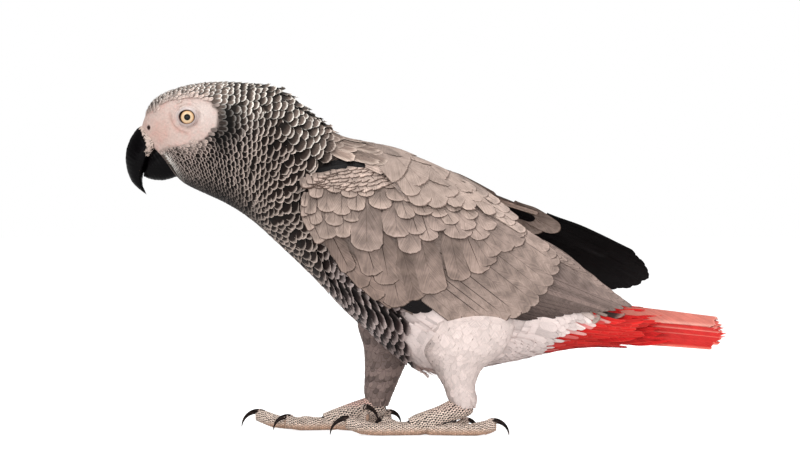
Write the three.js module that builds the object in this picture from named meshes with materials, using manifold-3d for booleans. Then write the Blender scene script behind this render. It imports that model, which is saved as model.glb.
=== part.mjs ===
// A grey parrot (Psittacus erithacus) in mid-stride, life size, as a faceted museum model.
// Millimetres, +Z up. The bird faces -X, its left side is -Y, and it stands on the plane z = 0.
// Each piece is one closed solid, parted from its neighbours by a thin gap.
import * as THREE from "three";
import Module from "manifold-3d";
import { mergeVertices } from "three/addons/utils/BufferGeometryUtils.js";

const wasm = await Module();
wasm.setup();

// ---------------------------------------------------------------- driving dimensions

const GAP = 0.3; // clearance between pieces that meet
const LEFT = -1; // sign of y on each side of the bird
const RIGHT = 1;

// Ribs of the feathered body, from the face to the tail root. Each is a slice standing across the
// body: where it meets the back and the belly, as [x, z], and its half-width.
const RIBS = [
  { name: "face", top: [-156.2, 167.5], bottom: [-141.4, 146.4], half: 6.0 },
  { name: "bill base", top: [-157.6, 174.2], bottom: [-135.0, 140.6], half: 10.0 },
  { name: "forehead", top: [-148.4, 188.8], bottom: [-126.5, 136.0], half: 17.5 },
  { name: "crown", top: [-120.6, 196.4], bottom: [-109.9, 128.2], half: 22.5 },
  { name: "nape", top: [-84.0, 193.2], bottom: [-95.8, 119.0], half: 27.5 },
  { name: "neck base", top: [-61.4, 177.0], bottom: [-81.8, 106.8], half: 32.0 },
  { name: "shoulder", top: [-43.0, 165.2], bottom: [-63.0, 88.8], half: 38.0 },
  { name: "mid back", top: [-10.6, 156.8], bottom: [-38.0, 63.2], half: 42.0 },
  { name: "hip", top: [26.4, 138.2], bottom: [0.0, 34.0], half: 40.0 },
  { name: "rump", top: [68.0, 103.4], bottom: [48.2, 40.6], half: 27.0 },
  { name: "tail root", top: [105.3, 70.5], bottom: [86.0, 47.5], half: 13.0 },
];
const FULLNESS = 2.2; // exponent of the slices' superellipse: 2 is an ellipse
const HEAD_END = 3.9; // where the neck and the trunk begin, counted in ribs
const NECK_END = 5.9;

// Upper bill: points of the ridge and of the cutting edge, as [x, z], from inside the face to the tip.
const UPPER_BILL = [
  { ridge: [-152.4, 172.2], edge: [-146.2, 160.2], half: 7.4 },
  { ridge: [-158.9, 171.6], edge: [-150.3, 157.9], half: 8.6 },
  { ridge: [-163.9, 165.6], edge: [-153.0, 153.9], half: 8.3 },
  { ridge: [-166.8, 157.3], edge: [-155.5, 149.0], half: 7.1 },
  { ridge: [-166.4, 148.2], edge: [-157.3, 144.4], half: 5.2 },
  { ridge: [-162.9, 139.9], edge: [-157.5, 139.0], half: 3.0 },
  { ridge: [-155.4, 133.4], edge: [-155.9, 134.9], half: 0.7 },
];
// Lower bill: points of its rim and of the chin, from inside the face to the front.
const LOWER_BILL = [
  { rim: [-142.6, 158.0], chin: [-133.6, 144.6], half: 8.6 },
  { rim: [-147.8, 159.0], chin: [-139.0, 143.3], half: 8.8 },
  { rim: [-152.0, 155.2], chin: [-145.6, 141.5], half: 8.2 },
  { rim: [-153.9, 151.0], chin: [-152.2, 141.9], half: 6.8 },
  { rim: [-155.6, 147.4], chin: [-156.9, 143.6], half: 3.8 },
];

const EYE = { at: [-131.5, 176.6], radius: 5.6, sunk: 3.9 }; // sunk: centre below the face's surface

// A folded wing is a blade in its own coordinates: a runs from the wrist to the tip, b across it.
// Each station gives a as a share of the length, both edges as b, how far the blade stands from the
// bird's middle plane, and how fast its upper half curls in over the back.
const WING_SLOPE = { left: 18.7, right: 14.9 }; // degrees below the horizontal
const WRIST = [-67.8, 130.5];
const LOWER_CURL = 0.008; // curl below the blade's crest, per mm
const CREST = -10; // b of the crest at the wrist; it runs out to 0 at the tip
const BLADE_LENGTH = 200; // length over which the crest runs out
const WINGS = {
  left: {
    start: 0,
    length: 194,
    stations: [
      { at: 0, upper: 3, lower: -3, depth: 40, curl: 0.012 },
      { at: 0.05, upper: 17, lower: -18, depth: 43.5, curl: 0.012 },
      { at: 0.12, upper: 31, lower: -29, depth: 45.5, curl: 0.0125 },
      { at: 0.3, upper: 37, lower: -36, depth: 47, curl: 0.017 },
      { at: 0.45, upper: 36.5, lower: -38.5, depth: 46, curl: 0.0185 },
      { at: 0.6, upper: 29, lower: -34.5, depth: 39, curl: 0.019 },
      { at: 0.76, upper: 19, lower: -22, depth: 28, curl: 0.02 },
      { at: 0.9, upper: 8, lower: -9, depth: 19, curl: 0.02 },
      { at: 1, upper: 1.5, lower: -1.5, depth: 13, curl: 0.02 },
    ],
  },
  right: {
    start: 0,
    length: 147,
    stations: [
      { at: 0, upper: 3, lower: -3, depth: 40, curl: 0.012 },
      { at: 0.06, upper: 17, lower: -18, depth: 43.5, curl: 0.012 },
      { at: 0.15, upper: 30, lower: -29, depth: 45.5, curl: 0.0125 },
      { at: 0.37, upper: 35, lower: -36, depth: 47, curl: 0.017 },
      { at: 0.55, upper: 30.5, lower: -36, depth: 46, curl: 0.0185 },
      { at: 0.72, upper: 26.5, lower: -30, depth: 40, curl: 0.019 },
      { at: 0.87, upper: 22, lower: -18, depth: 31, curl: 0.02 },
      { at: 0.95, upper: 16, lower: -8, depth: 26, curl: 0.02 },
      { at: 1, upper: 8, lower: 0, depth: 24, curl: 0.02 },
    ],
  },
};
// The dark primaries of each wing are a second, thinner blade that lies inside the first one.
const PRIMARIES = {
  left: {
    start: 58,
    length: 134,
    stations: [
      { at: 0, upper: -16, lower: -34, depth: 47, curl: 0.018 },
      { at: 0.16, upper: -8, lower: -41, depth: 46, curl: 0.0185 },
      { at: 0.43, upper: 4, lower: -35, depth: 39, curl: 0.019 },
      { at: 0.66, upper: 6, lower: -22.5, depth: 28, curl: 0.02 },
      { at: 0.87, upper: 5, lower: -9.5, depth: 19, curl: 0.02 },
      { at: 1, upper: 0.5, lower: -2, depth: 13, curl: 0.02 },
    ],
  },
  right: {
    start: 62,
    length: 138,
    stations: [
      { at: 0, upper: -12, lower: -36, depth: 47, curl: 0.018 },
      { at: 0.2, upper: 12, lower: -37, depth: 45, curl: 0.0185 },
      { at: 0.36, upper: 25.6, lower: -32, depth: 39, curl: 0.019 },
      { at: 0.52, upper: 27.6, lower: -25, depth: 32, curl: 0.02 },
      { at: 0.76, upper: 22.2, lower: -11.6, depth: 22, curl: 0.018 },
      { at: 0.9, upper: 16.2, lower: -5.2, depth: 17, curl: 0.016 },
      { at: 1, upper: 6, lower: -1.4, depth: 14, curl: 0.016 },
    ],
  },
};
const WING_THICKNESS = { middle: 4.0, edge: 1.2 };
const PRIMARY_THICKNESS = { middle: 1.6, edge: 0.8 };
const PRIMARY_DEPTH = -3.3; // how far inside the wing's blade the primaries lie
const WING_POCKET = { inside: -4.6, outside: 16 }; // what a wing clears out of the body around it

// The closed tail is a low roof. Each station gives the ridge, its half-width, its drop and its thickness.
const TAIL = [
  { ridge: [92, 72.6], half: 12, drop: 20.5, thick: 11 },
  { ridge: [112, 71.2], half: 14, drop: 21, thick: 7 },
  { ridge: [137, 68.0], half: 16, drop: 18.6, thick: 3.4 },
  { ridge: [158.6, 65.3], half: 17.5, drop: 16.8, thick: 1.6 },
  { ridge: [166.2, 59.8], half: 12, drop: 8.5, thick: 1.2 },
];
const ROOF_POWER = 1.35; // 1 is a sharp ridge, 2 a round one

// Legs. Stations run down the feathered thigh and along the bare tarsus: centre, then half-sizes
// fore-and-aft and across. The ball is where the four toes meet.
const LEGS = {
  left: {
    thigh: [
      { at: [24.0, -16.0, 82.0], fore: 12.0, across: 6.0 },
      { at: [24.0, -21.0, 66.0], fore: 26.0, across: 14.5 },
      { at: [22.0, -23.0, 48.5], fore: 23.0, across: 15.0 },
      { at: [18.6, -22.6, 37.5], fore: 13.8, across: 11.6 },
      { at: [19.4, -21.8, 27.7], fore: 8.8, across: 8.4 },
      { at: [21.2, -21.0, 20.5], fore: 8.1, across: 7.4 },
      { at: [23.0, -21.0, 15.4], fore: 5.4, across: 5.6 },
    ],
    tarsus: [
      { at: [25.4, -21.0, 18.6], size: 5.4 },
      { at: [21.2, -21.0, 16.4], size: 6.5 },
      { at: [9.9, -20.0, 11.4], size: 5.6 },
      { at: [-1.5, -19.0, 6.6], size: 6.1 },
      { at: [-7.0, -19.2, 5.2], size: 4.8 },
    ],
    ball: [0.5, -19.0],
    toes: [
      { number: 3, length: 44.4, yaw: 8, forward: true, size: 4.1, lift: 1.8, claw: 11.2, clawLift: 0 },
      { number: 2, length: 28, yaw: -33, forward: true, size: 3.8, lift: 1.2, claw: 8.8, clawLift: 0.6 },
      { number: 4, length: 39.8, yaw: -11, forward: false, size: 3.9, lift: 0.6, claw: 9.8, clawLift: 0 },
      { number: 1, length: 26, yaw: 24, forward: false, size: 3.6, lift: 0.8, claw: 9.0, clawLift: 0 },
    ],
  },
  right: {
    thigh: [
      { at: [-12.0, 16.0, 80.0], fore: 8.0, across: 6.0 },
      { at: [-17.4, 21.0, 64.0], fore: 19.4, across: 14.0 },
      { at: [-20.0, 23.0, 46.0], fore: 13.8, across: 13.4 },
      { at: [-23.2, 22.4, 31.0], fore: 10.2, across: 10.2 },
      { at: [-25.4, 21.2, 21.4], fore: 8.3, across: 7.8 },
      { at: [-26.2, 21.0, 13.6], fore: 6.0, across: 5.8 },
    ],
    tarsus: [
      { at: [-22.8, 21.0, 15.6], size: 5.2 },
      { at: [-27.0, 21.0, 13.6], size: 6.4 },
      { at: [-38.0, 20.0, 10.6], size: 5.9 },
      { at: [-49.0, 19.0, 6.4], size: 6.0 },
      { at: [-55.4, 19.2, 5.0], size: 4.8 },
    ],
    ball: [-48.6, 19.0],
    toes: [
      { number: 3, length: 47.8, yaw: 12, forward: true, size: 3.9, lift: 2.0, claw: 11.0, clawLift: 0 },
      { number: 2, length: 30.6, yaw: -14, forward: true, size: 3.8, lift: 0.4, claw: 9.2, clawLift: 0 },
      { number: 4, length: 31.8, yaw: -20, forward: false, size: 3.7, lift: 1.6, claw: 8.6, clawLift: 2.2 },
      { number: 1, length: 21, yaw: 36, forward: false, size: 3.6, lift: 3.4, claw: 9.8, clawLift: 5.2 },
    ],
  },
};
// A toe from the ball to its tip: share of the length, thickness, share of the tip's lift, and rise.
const TOE_FORM = [
  { share: 0.04, size: 1.1, lift: 0, up: 0.05 },
  { share: 0.24, size: 1, lift: 0, up: 0 },
  { share: 0.4, size: 1.07, lift: 0, up: 0 },
  { share: 0.58, size: 0.9, lift: 0, up: 0.02 },
  { share: 0.76, size: 1.04, lift: 0.35, up: 0.06 },
  { share: 0.92, size: 1, lift: 1, up: 0.38 },
  { share: 1, size: 0.62, lift: 1, up: 0.72 },
];
const SOLE_HEIGHT = 0.87; // centre of a toe above the floor, in its own half-thickness
const CLAW_SWEEP = [-24, 88]; // degrees of arc, from its root over the top to the tip
const CLAW_HALF = 1.75; // half-thickness at the root
const CLAW_ROOT = { up: 0.6, back: 0.8 }; // centre of the claw's arc, from the end of the toe on the floor

// ---------------------------------------------------------------- finishes

const finish = (color, roughness) => new THREE.MeshStandardMaterial({ color, roughness, metalness: 0 });
const HEAD_GREY = finish(0xa99c92, 0.85);
const NECK_GREY = finish(0x7d706a, 0.85);
const BODY_GREY = finish(0x968a84, 0.85);
const WING_GREY = finish(0xa8988c, 0.8);
const PRIMARY_BLACK = finish(0x241f20, 0.55);
const TAIL_RED = finish(0xd8453c, 0.7);
const THIGH_WHITE = finish(0xd9cbc6, 0.9);
const FOOT_SKIN = finish(0xb9a394, 0.7);
const HORN_BLACK = finish(0x1c1719, 0.3);
const IRIS_YELLOW = finish(0xdcc59a, 0.1);

// ---------------------------------------------------------------- curves and shells

const degrees = Math.PI / 180;
const mix = (a, b, t) => a + (b - a) * t;

// Cubic Hermite value through (key, value) pairs in rising order of key.
function through(keys, values, key) {
  const last = keys.length - 1;
  const at = Math.min(Math.max(key, keys[0]), keys[last]);
  let i = 0;
  while (i < last - 1 && at > keys[i + 1]) i += 1;
  const slope = (k) => {
    const lo = Math.max(k - 1, 0);
    const hi = Math.min(k + 1, last);
    return (values[hi] - values[lo]) / (keys[hi] - keys[lo]);
  };
  const span = keys[i + 1] - keys[i];
  const t = (at - keys[i]) / span;
  const u = 1 - t;
  return (
    (1 + 2 * t) * u * u * values[i] +
    t * u * u * span * slope(i) +
    t * t * (3 - 2 * t) * values[i + 1] -
    t * t * u * span * slope(i + 1)
  );
}

// The same for one named field of a list of stations, counted in stations or by their own "at".
const along = (stations, field, key) => through(stations.map((_, i) => i), stations.map(field), key);
const share = (stations, name, key) => through(stations.map((s) => s.at), stations.map((s) => s[name]), key);

// A closed skin over rings of points, with a fan over each end.
function loft(rings) {
  const count = rings[0].length;
  const points = rings.flat();
  const faces = [];
  for (let r = 0; r + 1 < rings.length; r += 1) {
    for (let k = 0; k < count; k += 1) {
      const a = r * count + k;
      const b = r * count + ((k + 1) % count);
      faces.push(a, b, b + count, a, b + count, a + count);
    }
  }
  for (const [ring, turned] of [[rings[0], true], [rings.at(-1), false]]) {
    const hub = points.length;
    const first = turned ? 0 : (rings.length - 1) * count;
    const centre = new THREE.Vector3();
    ring.forEach((p) => centre.addScaledVector(p, 1 / count));
    points.push(centre);
    for (let k = 0; k < count; k += 1) {
      const a = first + k;
      const b = first + ((k + 1) % count);
      faces.push(...(turned ? [hub, b, a] : [hub, a, b]));
    }
  }
  return new THREE.BufferGeometry().setFromPoints(points).setIndex(faces);
}

// A closed geometry as a manifold-3d solid, turned to face out.
function solid(geometry) {
  const bare = geometry.clone();
  bare.deleteAttribute("normal");
  bare.deleteAttribute("uv");
  const merged = mergeVertices(bare, 1e-4);
  const triVerts = new Uint32Array(merged.index.array);
  const vertProperties = new Float32Array(merged.attributes.position.array);
  const made = new wasm.Manifold(new wasm.Mesh({ numProp: 3, vertProperties, triVerts }));
  if (made.volume() > 0) return made;
  for (let i = 0; i < triVerts.length; i += 3) {
    [triVerts[i + 1], triVerts[i + 2]] = [triVerts[i + 2], triVerts[i + 1]];
  }
  return new wasm.Manifold(new wasm.Mesh({ numProp: 3, vertProperties, triVerts }));
}

// Cuts the tools out of a solid and keeps the largest piece that is left.
function carve(body, ...tools) {
  const left = tools.reduce((rest, tool) => rest.subtract(tool), body).decompose();
  return left.reduce((best, piece) => (piece.volume() > best.volume() ? piece : best));
}

const parrot = new THREE.Group();

function addPart(name, made, material) {
  const { vertProperties, triVerts } = made.getMesh();
  const geometry = new THREE.BufferGeometry();
  geometry.setAttribute("position", new THREE.BufferAttribute(vertProperties, 3));
  geometry.setIndex(new THREE.BufferAttribute(triVerts, 1));
  geometry.computeVertexNormals();
  const mesh = new THREE.Mesh(geometry, material);
  mesh.name = name;
  parrot.add(mesh);
}

// ---------------------------------------------------------------- head, neck and trunk

const superCircle = (value) => Math.sign(value) * Math.abs(value) ** (2 / FULLNESS);

// A point of the body's surface: rib is counted along RIBS, and angle runs from the back down the right side.
function bodyPoint(rib, angle, grow = 0) {
  const at = (end, axis) => along(RIBS, (r) => r[end][axis], rib);
  const top = [at("top", 0), at("top", 1)];
  const bottom = [at("bottom", 0), at("bottom", 1)];
  const half = along(RIBS, (r) => r.half, rib) + grow;
  const height = Math.hypot(top[0] - bottom[0], top[1] - bottom[1]) / 2;
  const rise = (superCircle(Math.cos(angle)) * (height + grow)) / height / 2;
  return new THREE.Vector3(
    (top[0] + bottom[0]) / 2 + (top[0] - bottom[0]) * rise,
    half * superCircle(Math.sin(angle)),
    (top[1] + bottom[1]) / 2 + (top[1] - bottom[1]) * rise,
  );
}

function bodyLength(from, to, steps, sides, grow = 0) {
  const rings = [];
  for (let i = 0; i <= steps; i += 1) {
    const rib = mix(from, to, i / steps);
    rings.push(Array.from({ length: sides }, (_, k) => bodyPoint(rib, (k / sides) * 2 * Math.PI, grow)));
  }
  return solid(loft(rings));
}

// How far the body's surface stands from the middle plane at [x, z] in side view.
function bodySide([x, z]) {
  let best = { miss: Infinity, y: 0 };
  for (let rib = 0; rib <= RIBS.length - 1; rib += 0.05) {
    for (let angle = 0; angle <= Math.PI; angle += Math.PI / 90) {
      const p = bodyPoint(rib, angle);
      const miss = Math.hypot(p.x - x, p.z - z);
      if (miss < best.miss) best = { miss, y: p.y };
    }
  }
  return best.y;
}

// ---------------------------------------------------------------- bill and eyes

// A horn shell whose slices run between two side-view lines; it is narrower towards the first line.
function hornShell(stations, first, second, keel, grow = 0) {
  const sides = 14;
  const steps = 2 * (stations.length - 1);
  const rings = [];
  for (let i = 0; i <= steps; i += 1) {
    const at = (i / steps) * (stations.length - 1);
    const line = (name, axis) => along(stations, (s) => s[name][axis], at);
    const p = new THREE.Vector3(line(first, 0), 0, line(first, 1));
    const q = new THREE.Vector3(line(second, 0), 0, line(second, 1));
    const half = along(stations, (s) => s.half, at) + grow;
    const stretch = 1 + (2 * grow) / p.distanceTo(q);
    const centre = p.clone().add(q).multiplyScalar(0.5);
    rings.push(
      Array.from({ length: sides }, (_, k) => {
        const angle = (k / sides) * 2 * Math.PI;
        const point = centre.clone().addScaledVector(p.clone().sub(centre), Math.cos(angle) * stretch);
        point.y = half * Math.sin(angle) * (1 - keel * Math.cos(angle));
        return point;
      }),
    );
  }
  return solid(loft(rings));
}

const upperBill = (grow) => hornShell(UPPER_BILL, "ridge", "edge", 0.3, grow);
const lowerBill = (grow) => hornShell(LOWER_BILL, "chin", "rim", 0.2, grow);

function eyeball(side, grow = 0) {
  const [x, z] = EYE.at;
  const ball = new THREE.SphereGeometry(EYE.radius + grow, 12, 9);
  ball.translate(x, side * (bodySide(EYE.at) - EYE.sunk), z);
  return solid(ball);
}

// ---------------------------------------------------------------- wings

// A point of a wing's blade, "out" millimetres outside its middle surface.
function wingPoint(sideName, a, b, depth, curl, out) {
  const slope = WING_SLOPE[sideName] * degrees;
  const crest = CREST * (1 - a / BLADE_LENGTH);
  const off = b - crest;
  const y = depth - (off > 0 ? curl : LOWER_CURL) * off * off + out;
  return new THREE.Vector3(
    WRIST[0] + a * Math.cos(slope) + b * Math.sin(slope),
    (sideName === "left" ? LEFT : RIGHT) * y,
    WRIST[1] - a * Math.sin(slope) + b * Math.cos(slope),
  );
}

// A blade between the outer and inner offsets given by outside(v) and inside(v), v from 0 to 1 across it.
function blade(sideName, spec, outside, inside, grow = 0) {
  const steps = 12;
  const across = 6;
  const rings = [];
  for (let i = 0; i <= steps; i += 1) {
    const at = 0.5 - 0.5 * Math.cos((i / steps) * Math.PI);
    const get = (name) => share(spec.stations, name, at);
    const a = spec.start + at * spec.length;
    const upper = get("upper") + grow;
    const lower = get("lower") - grow;
    const line = (v, out) => wingPoint(sideName, a, mix(upper, lower, v), get("depth"), get("curl"), out);
    const ring = [];
    for (let k = 0; k <= across; k += 1) ring.push(line(k / across, outside(k / across)));
    for (let k = across; k >= 0; k -= 1) ring.push(line(k / across, inside(k / across)));
    rings.push(ring);
  }
  return solid(loft(rings));
}

function wingBlade(sideName, spec, thickness, depth, grow = 0) {
  const halfAt = (v) => mix(thickness.edge, thickness.middle, Math.sin(Math.PI * v)) / 2 + grow;
  return blade(sideName, spec, (v) => depth + halfAt(v), (v) => depth - halfAt(v), grow);
}

function wingPocket(sideName) {
  const outside = () => WING_POCKET.outside;
  const inside = () => WING_POCKET.inside;
  return [WINGS, PRIMARIES].map((set) => blade(sideName, set[sideName], outside, inside, 0.6));
}

// ---------------------------------------------------------------- tail

function tailRoof(grow = 0) {
  const across = 6;
  const steps = 6;
  const rings = [];
  for (let i = 0; i <= steps; i += 1) {
    const at = (i / steps) * (TAIL.length - 1);
    const get = (field) => along(TAIL, field, at);
    const x = get((s) => s.ridge[0]);
    const line = (k, sink) => {
      const side = (k / across) * 2 - 1;
      const fall = get((s) => s.drop) * Math.abs(side) ** ROOF_POWER;
      const inset = sink ? 0.94 : 1;
      return new THREE.Vector3(x, side * inset * (get((s) => s.half) + grow), get((s) => s.ridge[1]) - fall - sink);
    };
    const ring = [];
    for (let k = 0; k <= across; k += 1) ring.push(line(k, -grow));
    for (let k = across; k >= 0; k -= 1) {
      const open = 1 - ((k / across) * 2 - 1) ** 2;
      ring.push(line(k, get((s) => s.thick) * (0.35 + 0.65 * open) + grow));
    }
    rings.push(ring);
  }
  return solid(loft(rings));
}

// ---------------------------------------------------------------- legs and feet

// A tube of elliptical slices; frames are level slices unless the path is given its own direction.
function limb(stations, sides, steps, slice) {
  const rings = [];
  for (let i = 0; i <= steps; i += 1) {
    const at = (i / steps) * (stations.length - 1);
    const centre = new THREE.Vector3(...[0, 1, 2].map((axis) => along(stations, (s) => s.at[axis], at)));
    rings.push(Array.from({ length: sides }, (_, k) => slice(centre, at, (k / sides) * 2 * Math.PI)));
  }
  return solid(loft(rings));
}

function thigh(spec, grow = 0) {
  return limb(spec.thigh, 14, 8, (centre, at, angle) => {
    const fore = along(spec.thigh, (s) => s.fore, at) + grow;
    const across = along(spec.thigh, (s) => s.across, at) + grow;
    return centre.clone().add(new THREE.Vector3(fore * Math.cos(angle), across * Math.sin(angle), 0));
  });
}

// Everything below the floor plane is trimmed off, which leaves a flat sole.
const standing = (made) => made.trimByPlane([0, 0, 1], 0);

function tarsus(spec, grow = 0) {
  return limb(spec.tarsus, 12, 6, (centre, at, angle) => {
    const size = along(spec.tarsus, (s) => s.size, at) + grow;
    const lean = new THREE.Vector3(-Math.sin(25 * degrees), 0, Math.cos(25 * degrees));
    const side = new THREE.Vector3(0, size * 0.86 * Math.sin(angle), 0);
    return centre.clone().addScaledVector(lean, size * Math.cos(angle)).add(side);
  });
}

// The direction of a toe on the ground. Yaw turns it outward from the bird's line of travel.
function toeHeading(side, toe) {
  const yaw = toe.yaw * degrees;
  const outward = toe.forward ? Math.sin(yaw) : -Math.sin(yaw);
  return new THREE.Vector3((toe.forward ? -1 : 1) * Math.cos(yaw), side * outward, 0);
}

function toePath(spec, side, toe) {
  const heading = toeHeading(side, toe);
  return TOE_FORM.map(({ share, size, lift, up }) => {
    const reach = toe.length * share;
    const height = toe.size * (size * SOLE_HEIGHT + up) + toe.lift * lift;
    return { at: [spec.ball[0] + heading.x * reach, spec.ball[1] + heading.y * reach, height], size: toe.size * size };
  });
}

function toeSolid(spec, side, toe, grow = 0) {
  const path = toePath(spec, side, toe);
  const heading = toeHeading(side, toe);
  const sideways = new THREE.Vector3(-heading.y, heading.x, 0);
  return limb(path, 8, 6, (centre, at, angle) => {
    const size = along(path, (s) => s.size, at) + grow;
    const turned = angle + Math.PI / 8; // an edge of the eight-sided slice lies flat below
    const point = centre.clone().addScaledVector(sideways, size * 0.94 * Math.sin(turned));
    point.z += size * Math.cos(turned);
    return point;
  });
}

function clawSolid(spec, side, toe) {
  const heading = toeHeading(side, toe);
  const sideways = new THREE.Vector3(-heading.y, heading.x, 0);
  const root = new THREE.Vector3(spec.ball[0], spec.ball[1], CLAW_ROOT.up + toe.clawLift);
  root.addScaledVector(heading, toe.length - CLAW_ROOT.back);
  const rings = [];
  const steps = 6;
  for (let i = 0; i <= steps; i += 1) {
    const t = i / steps;
    const sweep = mix(CLAW_SWEEP[0], CLAW_SWEEP[1], t) * degrees;
    const half = CLAW_HALF * (1 - 0.86 * t ** 1.4);
    const out = heading.clone().multiplyScalar(Math.sin(sweep));
    out.z = Math.cos(sweep);
    const spine = root.clone().addScaledVector(out, toe.claw - CLAW_HALF);
    rings.push(
      Array.from({ length: 6 }, (_, k) => {
        const angle = (k / 6) * 2 * Math.PI;
        return spine
          .clone()
          .addScaledVector(out, half * Math.cos(angle))
          .addScaledVector(sideways, half * 0.75 * Math.sin(angle));
      }),
    );
  }
  return solid(loft(rings));
}

// ---------------------------------------------------------------- assembly

const SIDES = [["left", LEFT], ["right", RIGHT]];
const RIB_GAP = 0.02; // the parting cuts of the body, in ribs
const pockets = SIDES.flatMap(([name]) => wingPocket(name));
const eyeSockets = SIDES.map(([, side]) => eyeball(side, GAP));

addPart("upper_bill", upperBill(0), HORN_BLACK);
addPart("lower_bill", carve(lowerBill(0), upperBill(GAP)), HORN_BLACK);
const bills = [upperBill(GAP), lowerBill(GAP)];
addPart("head", carve(bodyLength(0, HEAD_END - RIB_GAP, 10, 28), ...bills, ...eyeSockets), HEAD_GREY);
SIDES.forEach(([name, side]) => addPart("eye_" + name, eyeball(side), IRIS_YELLOW));

addPart("neck", carve(bodyLength(HEAD_END, NECK_END - RIB_GAP, 5, 28), ...pockets), NECK_GREY);
addPart("trunk", carve(bodyLength(NECK_END, RIBS.length - 1, 10, 28), ...pockets), BODY_GREY);

for (const [name] of SIDES) {
  const primaries = wingBlade(name, PRIMARIES[name], PRIMARY_THICKNESS, PRIMARY_DEPTH);
  const primariesRoom = wingBlade(name, PRIMARIES[name], PRIMARY_THICKNESS, PRIMARY_DEPTH, GAP);
  const wing = wingBlade(name, WINGS[name], WING_THICKNESS, 0);
  addPart("wing_" + name, carve(wing, primariesRoom), WING_GREY);
  addPart("primaries_" + name, primaries, PRIMARY_BLACK);
}

const trunkHull = bodyLength(NECK_END, RIBS.length - 1, 10, 28, GAP);
addPart("tail", carve(tailRoof(), trunkHull, ...pockets), TAIL_RED);

for (const [name, side] of SIDES) {
  const leg = LEGS[name];
  addPart("thigh_" + name, carve(thigh(leg), trunkHull, ...pockets), THIGH_WHITE);
  addPart("tarsus_" + name, standing(carve(tarsus(leg), thigh(leg, GAP))), FOOT_SKIN);
  const before = [tarsus(leg, GAP)];
  for (const toe of leg.toes) {
    const label = name + "_" + toe.number;
    addPart("toe_" + label, standing(carve(toeSolid(leg, side, toe), ...before)), FOOT_SKIN);
    addPart("claw_" + label, carve(clawSolid(leg, side, toe), toeSolid(leg, side, toe, GAP)), HORN_BLACK);
    before.push(toeSolid(leg, side, toe, GAP));
  }
}

// The origin is under the middle of the bird, on the floor.
const box = new THREE.Box3().setFromObject(parrot);
const centre = box.getCenter(new THREE.Vector3());
parrot.position.set(-centre.x, -centre.y, -box.min.z);

export default parrot;
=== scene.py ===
import math

import bmesh
import bpy
import numpy as np
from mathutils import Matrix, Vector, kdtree


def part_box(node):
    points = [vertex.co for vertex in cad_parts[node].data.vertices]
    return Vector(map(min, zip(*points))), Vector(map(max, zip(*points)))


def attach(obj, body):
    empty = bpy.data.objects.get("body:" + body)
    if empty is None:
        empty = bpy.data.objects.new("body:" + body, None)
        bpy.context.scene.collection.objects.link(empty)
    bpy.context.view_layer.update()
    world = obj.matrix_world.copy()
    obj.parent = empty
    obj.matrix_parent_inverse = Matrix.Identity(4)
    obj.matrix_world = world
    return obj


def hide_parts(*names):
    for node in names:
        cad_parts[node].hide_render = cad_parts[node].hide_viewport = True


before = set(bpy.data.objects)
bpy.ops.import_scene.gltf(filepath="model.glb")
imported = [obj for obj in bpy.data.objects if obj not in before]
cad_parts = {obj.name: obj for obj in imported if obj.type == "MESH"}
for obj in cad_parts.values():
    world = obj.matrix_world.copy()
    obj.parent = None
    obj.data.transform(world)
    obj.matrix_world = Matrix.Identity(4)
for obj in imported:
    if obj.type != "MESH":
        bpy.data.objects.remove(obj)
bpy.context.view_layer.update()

# A grey parrot in mid-stride. Shapes are worked out in millimetres in the bird's own frame: it faces
# -X, its left side is -Y, and x = 0 lies under its shoulders. place() moves them into the CAD's frame.
MM = 0.001
SIDES = {"left": -1, "right": 1}
SEED = 33
rng = np.random.default_rng(SEED)

# ------------------------------------------------------------------------------ the bird's form

RIBS = [  # of the feathered body: top [x, z], bottom [x, z], half-width
    (-156.2, 167.5, -141.4, 146.4, 6.0),
    (-157.6, 174.2, -135.0, 140.6, 10.0),
    (-148.4, 188.8, -126.5, 136.0, 17.5),
    (-120.6, 196.4, -109.9, 128.2, 22.5),
    (-84.0, 193.2, -95.8, 119.0, 27.5),
    (-61.4, 177.0, -81.8, 106.8, 32.0),
    (-43.0, 165.2, -63.0, 88.8, 38.0),
    (-10.6, 156.8, -38.0, 63.2, 42.0),
    (26.4, 138.2, 0.0, 34.0, 40.0),
    (68.0, 103.4, 48.2, 40.6, 27.0),
    (105.3, 70.5, 86.0, 47.5, 13.0),
    (136.0, 68.0, 119.0, 47.6, 14.5),  # round the tail's root, for feathers only
]
FULLNESS = 2.2  # 2 makes the body's slices ellipses, and more makes them squarer
UPPER_BILL = [  # ridge [x, z], cutting edge [x, z], half-width
    (-152.4, 172.2, -146.2, 160.2, 7.4),
    (-158.9, 171.6, -150.3, 157.9, 8.6),
    (-163.9, 165.6, -153.0, 153.9, 8.3),
    (-166.8, 157.3, -155.5, 149.0, 7.1),
    (-166.4, 148.2, -157.3, 144.4, 5.2),
    (-162.9, 139.9, -157.5, 139.0, 3.0),
    (-155.4, 133.4, -155.9, 134.9, 0.7),
]
LOWER_BILL = [  # chin [x, z], rim [x, z], half-width
    (-133.6, 144.6, -144.4, 160.0, 8.0),
    (-139.0, 143.3, -150.6, 160.8, 7.7),
    (-145.6, 141.5, -154.6, 156.8, 7.0),
    (-152.2, 141.9, -155.4, 151.4, 5.6),
    (-156.9, 143.6, -156.4, 147.2, 3.2),
]
EYE_AT = (-131.5, 176.6)
EYE_RADIUS = 5.6
EYE_SUNK = 3.9
WRIST = (-67.8, 130.5)
WING_SLOPE = {"left": 18.7, "right": 14.9}
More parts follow.
